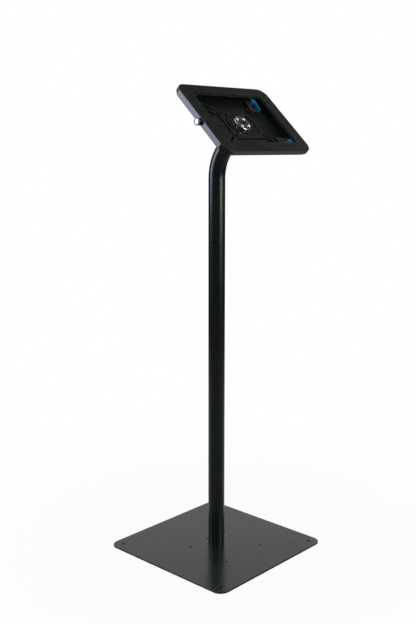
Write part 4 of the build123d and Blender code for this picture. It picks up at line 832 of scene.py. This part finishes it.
world = bpy.data.worlds.new("Studio")
bpy.context.scene.world = world
world.use_nodes = True
tree = world.node_tree
tree.nodes.clear()
way = add(tree, "ShaderNodeTexCoord").outputs["Generated"]
path = add(tree, "ShaderNodeLightPath")
toward = add(tree, "ShaderNodeVectorMath", {0: way}, {1: (BEHIND.x, BEHIND.y, 0.0)},
             operation="DOT_PRODUCT")
behind = add(tree, "ShaderNodeMapRange", {"Value": toward.outputs["Value"]},
             {"From Min": WALL_TURN_START, "From Max": WALL_TURN_END, "To Min": WALL_BEFORE, "To Max": 1.0})
height = add(tree, "ShaderNodeSeparateXYZ", {"Vector": way})
low_down = add(tree, "ShaderNodeMapRange", {"Value": height.outputs["Z"]},
               {"From Min": WALL_TOP_START, "From Max": WALL_TOP_END,
                "To Min": WALL_BRIGHTNESS, "To Max": 0.0})
above_floor = add(tree, "ShaderNodeMapRange", {"Value": height.outputs["Z"]},
                  {"From Min": WALL_FOOT_START, "From Max": WALL_FOOT_END})
wall = add(tree, "ShaderNodeMath", {0: behind.outputs["Result"], 1: low_down.outputs["Result"]},
           operation="MULTIPLY")
wall = add(tree, "ShaderNodeMath", {0: wall.outputs[0], 1: above_floor.outputs["Result"]},
           operation="MULTIPLY")
mirrored = add(tree, "ShaderNodeMath", {0: wall.outputs[0], 1: path.outputs["Is Glossy Ray"]},
               operation="MULTIPLY")
seen = add(tree, "ShaderNodeMath", {0: mirrored.outputs[0], 1: path.outputs["Is Camera Ray"]},
           operation="MAXIMUM")
seen = add(tree, "ShaderNodeMath", {0: seen.outputs[0], 1: path.outputs["Is Transmission Ray"]},
           operation="MAXIMUM")
room = add(tree, "ShaderNodeBackground", None, {"Color": linear(PLAIN_WHITE), "Strength": ROOM_DIM})
white = add(tree, "ShaderNodeBackground", None, {"Color": linear(PLAIN_WHITE), "Strength": 1.0})
both = add(tree, "ShaderNodeMixShader", {0: seen.outputs[0], 1: room.outputs[0], 2: white.outputs[0]})
add(tree, "ShaderNodeOutputWorld", {"Surface": both.outputs[0]})

# Lamps: a bright cool softbox on the left, a little above the head, a larger and dimmer one
# on the right, and dim ones above, before and behind the stand.
LAVENDER_WHITE = "#e0defd"
WARM_WHITE = "#fffcf8"


def soft_lamp(name, place, aim, width, height, brightness, colour):
    """Rectangular soft lamp: its brightness is that of its face."""
    light = bpy.data.lights.new(name, "AREA")
    light.shape = "RECTANGLE"
    light.size = width
    light.size_y = height
    light.energy = brightness * math.pi * width * height
    light.color = linear(colour)[:3]
    lamp = bpy.data.objects.new(name, light)
    bpy.context.scene.collection.objects.link(lamp)
    lamp.location = place
    lamp.rotation_mode = "QUATERNION"
    lamp.rotation_quaternion = (Vector(aim) - Vector(place)).to_track_quat("-Z", "Y")
    lamp.visible_camera = False


soft_lamp("left_softbox", place=(-1.34, -1.42, 1.35), aim=(0, 0, 1.05), width=1.0, height=1.0,
          brightness=7.5, colour=LAVENDER_WHITE)
soft_lamp("right_softbox", place=(2.15, 0.55, 1.35), aim=(0, 0, 1.1), width=1.2, height=1.35,
          brightness=4.5, colour=WARM_WHITE)
soft_lamp("front_lamp", place=(1.3, -2.3, 2.3), aim=(0, 0, 1.0), width=1.0, height=1.0,
          brightness=3.5, colour=PLAIN_WHITE)
soft_lamp("back_lamp", place=(-1.7, 1.5, 2.6), aim=(0, 0, 0.9), width=1.2, height=1.2,
          brightness=2.5, colour=PLAIN_WHITE)
soft_lamp("top_lamp", place=(0.3, -0.4, 3.2), aim=(0, 0, 0.5), width=2.2, height=2.2,
          brightness=1.2, colour=PLAIN_WHITE)

bpy.context.scene.view_settings.view_transform = "Standard"

low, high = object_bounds()
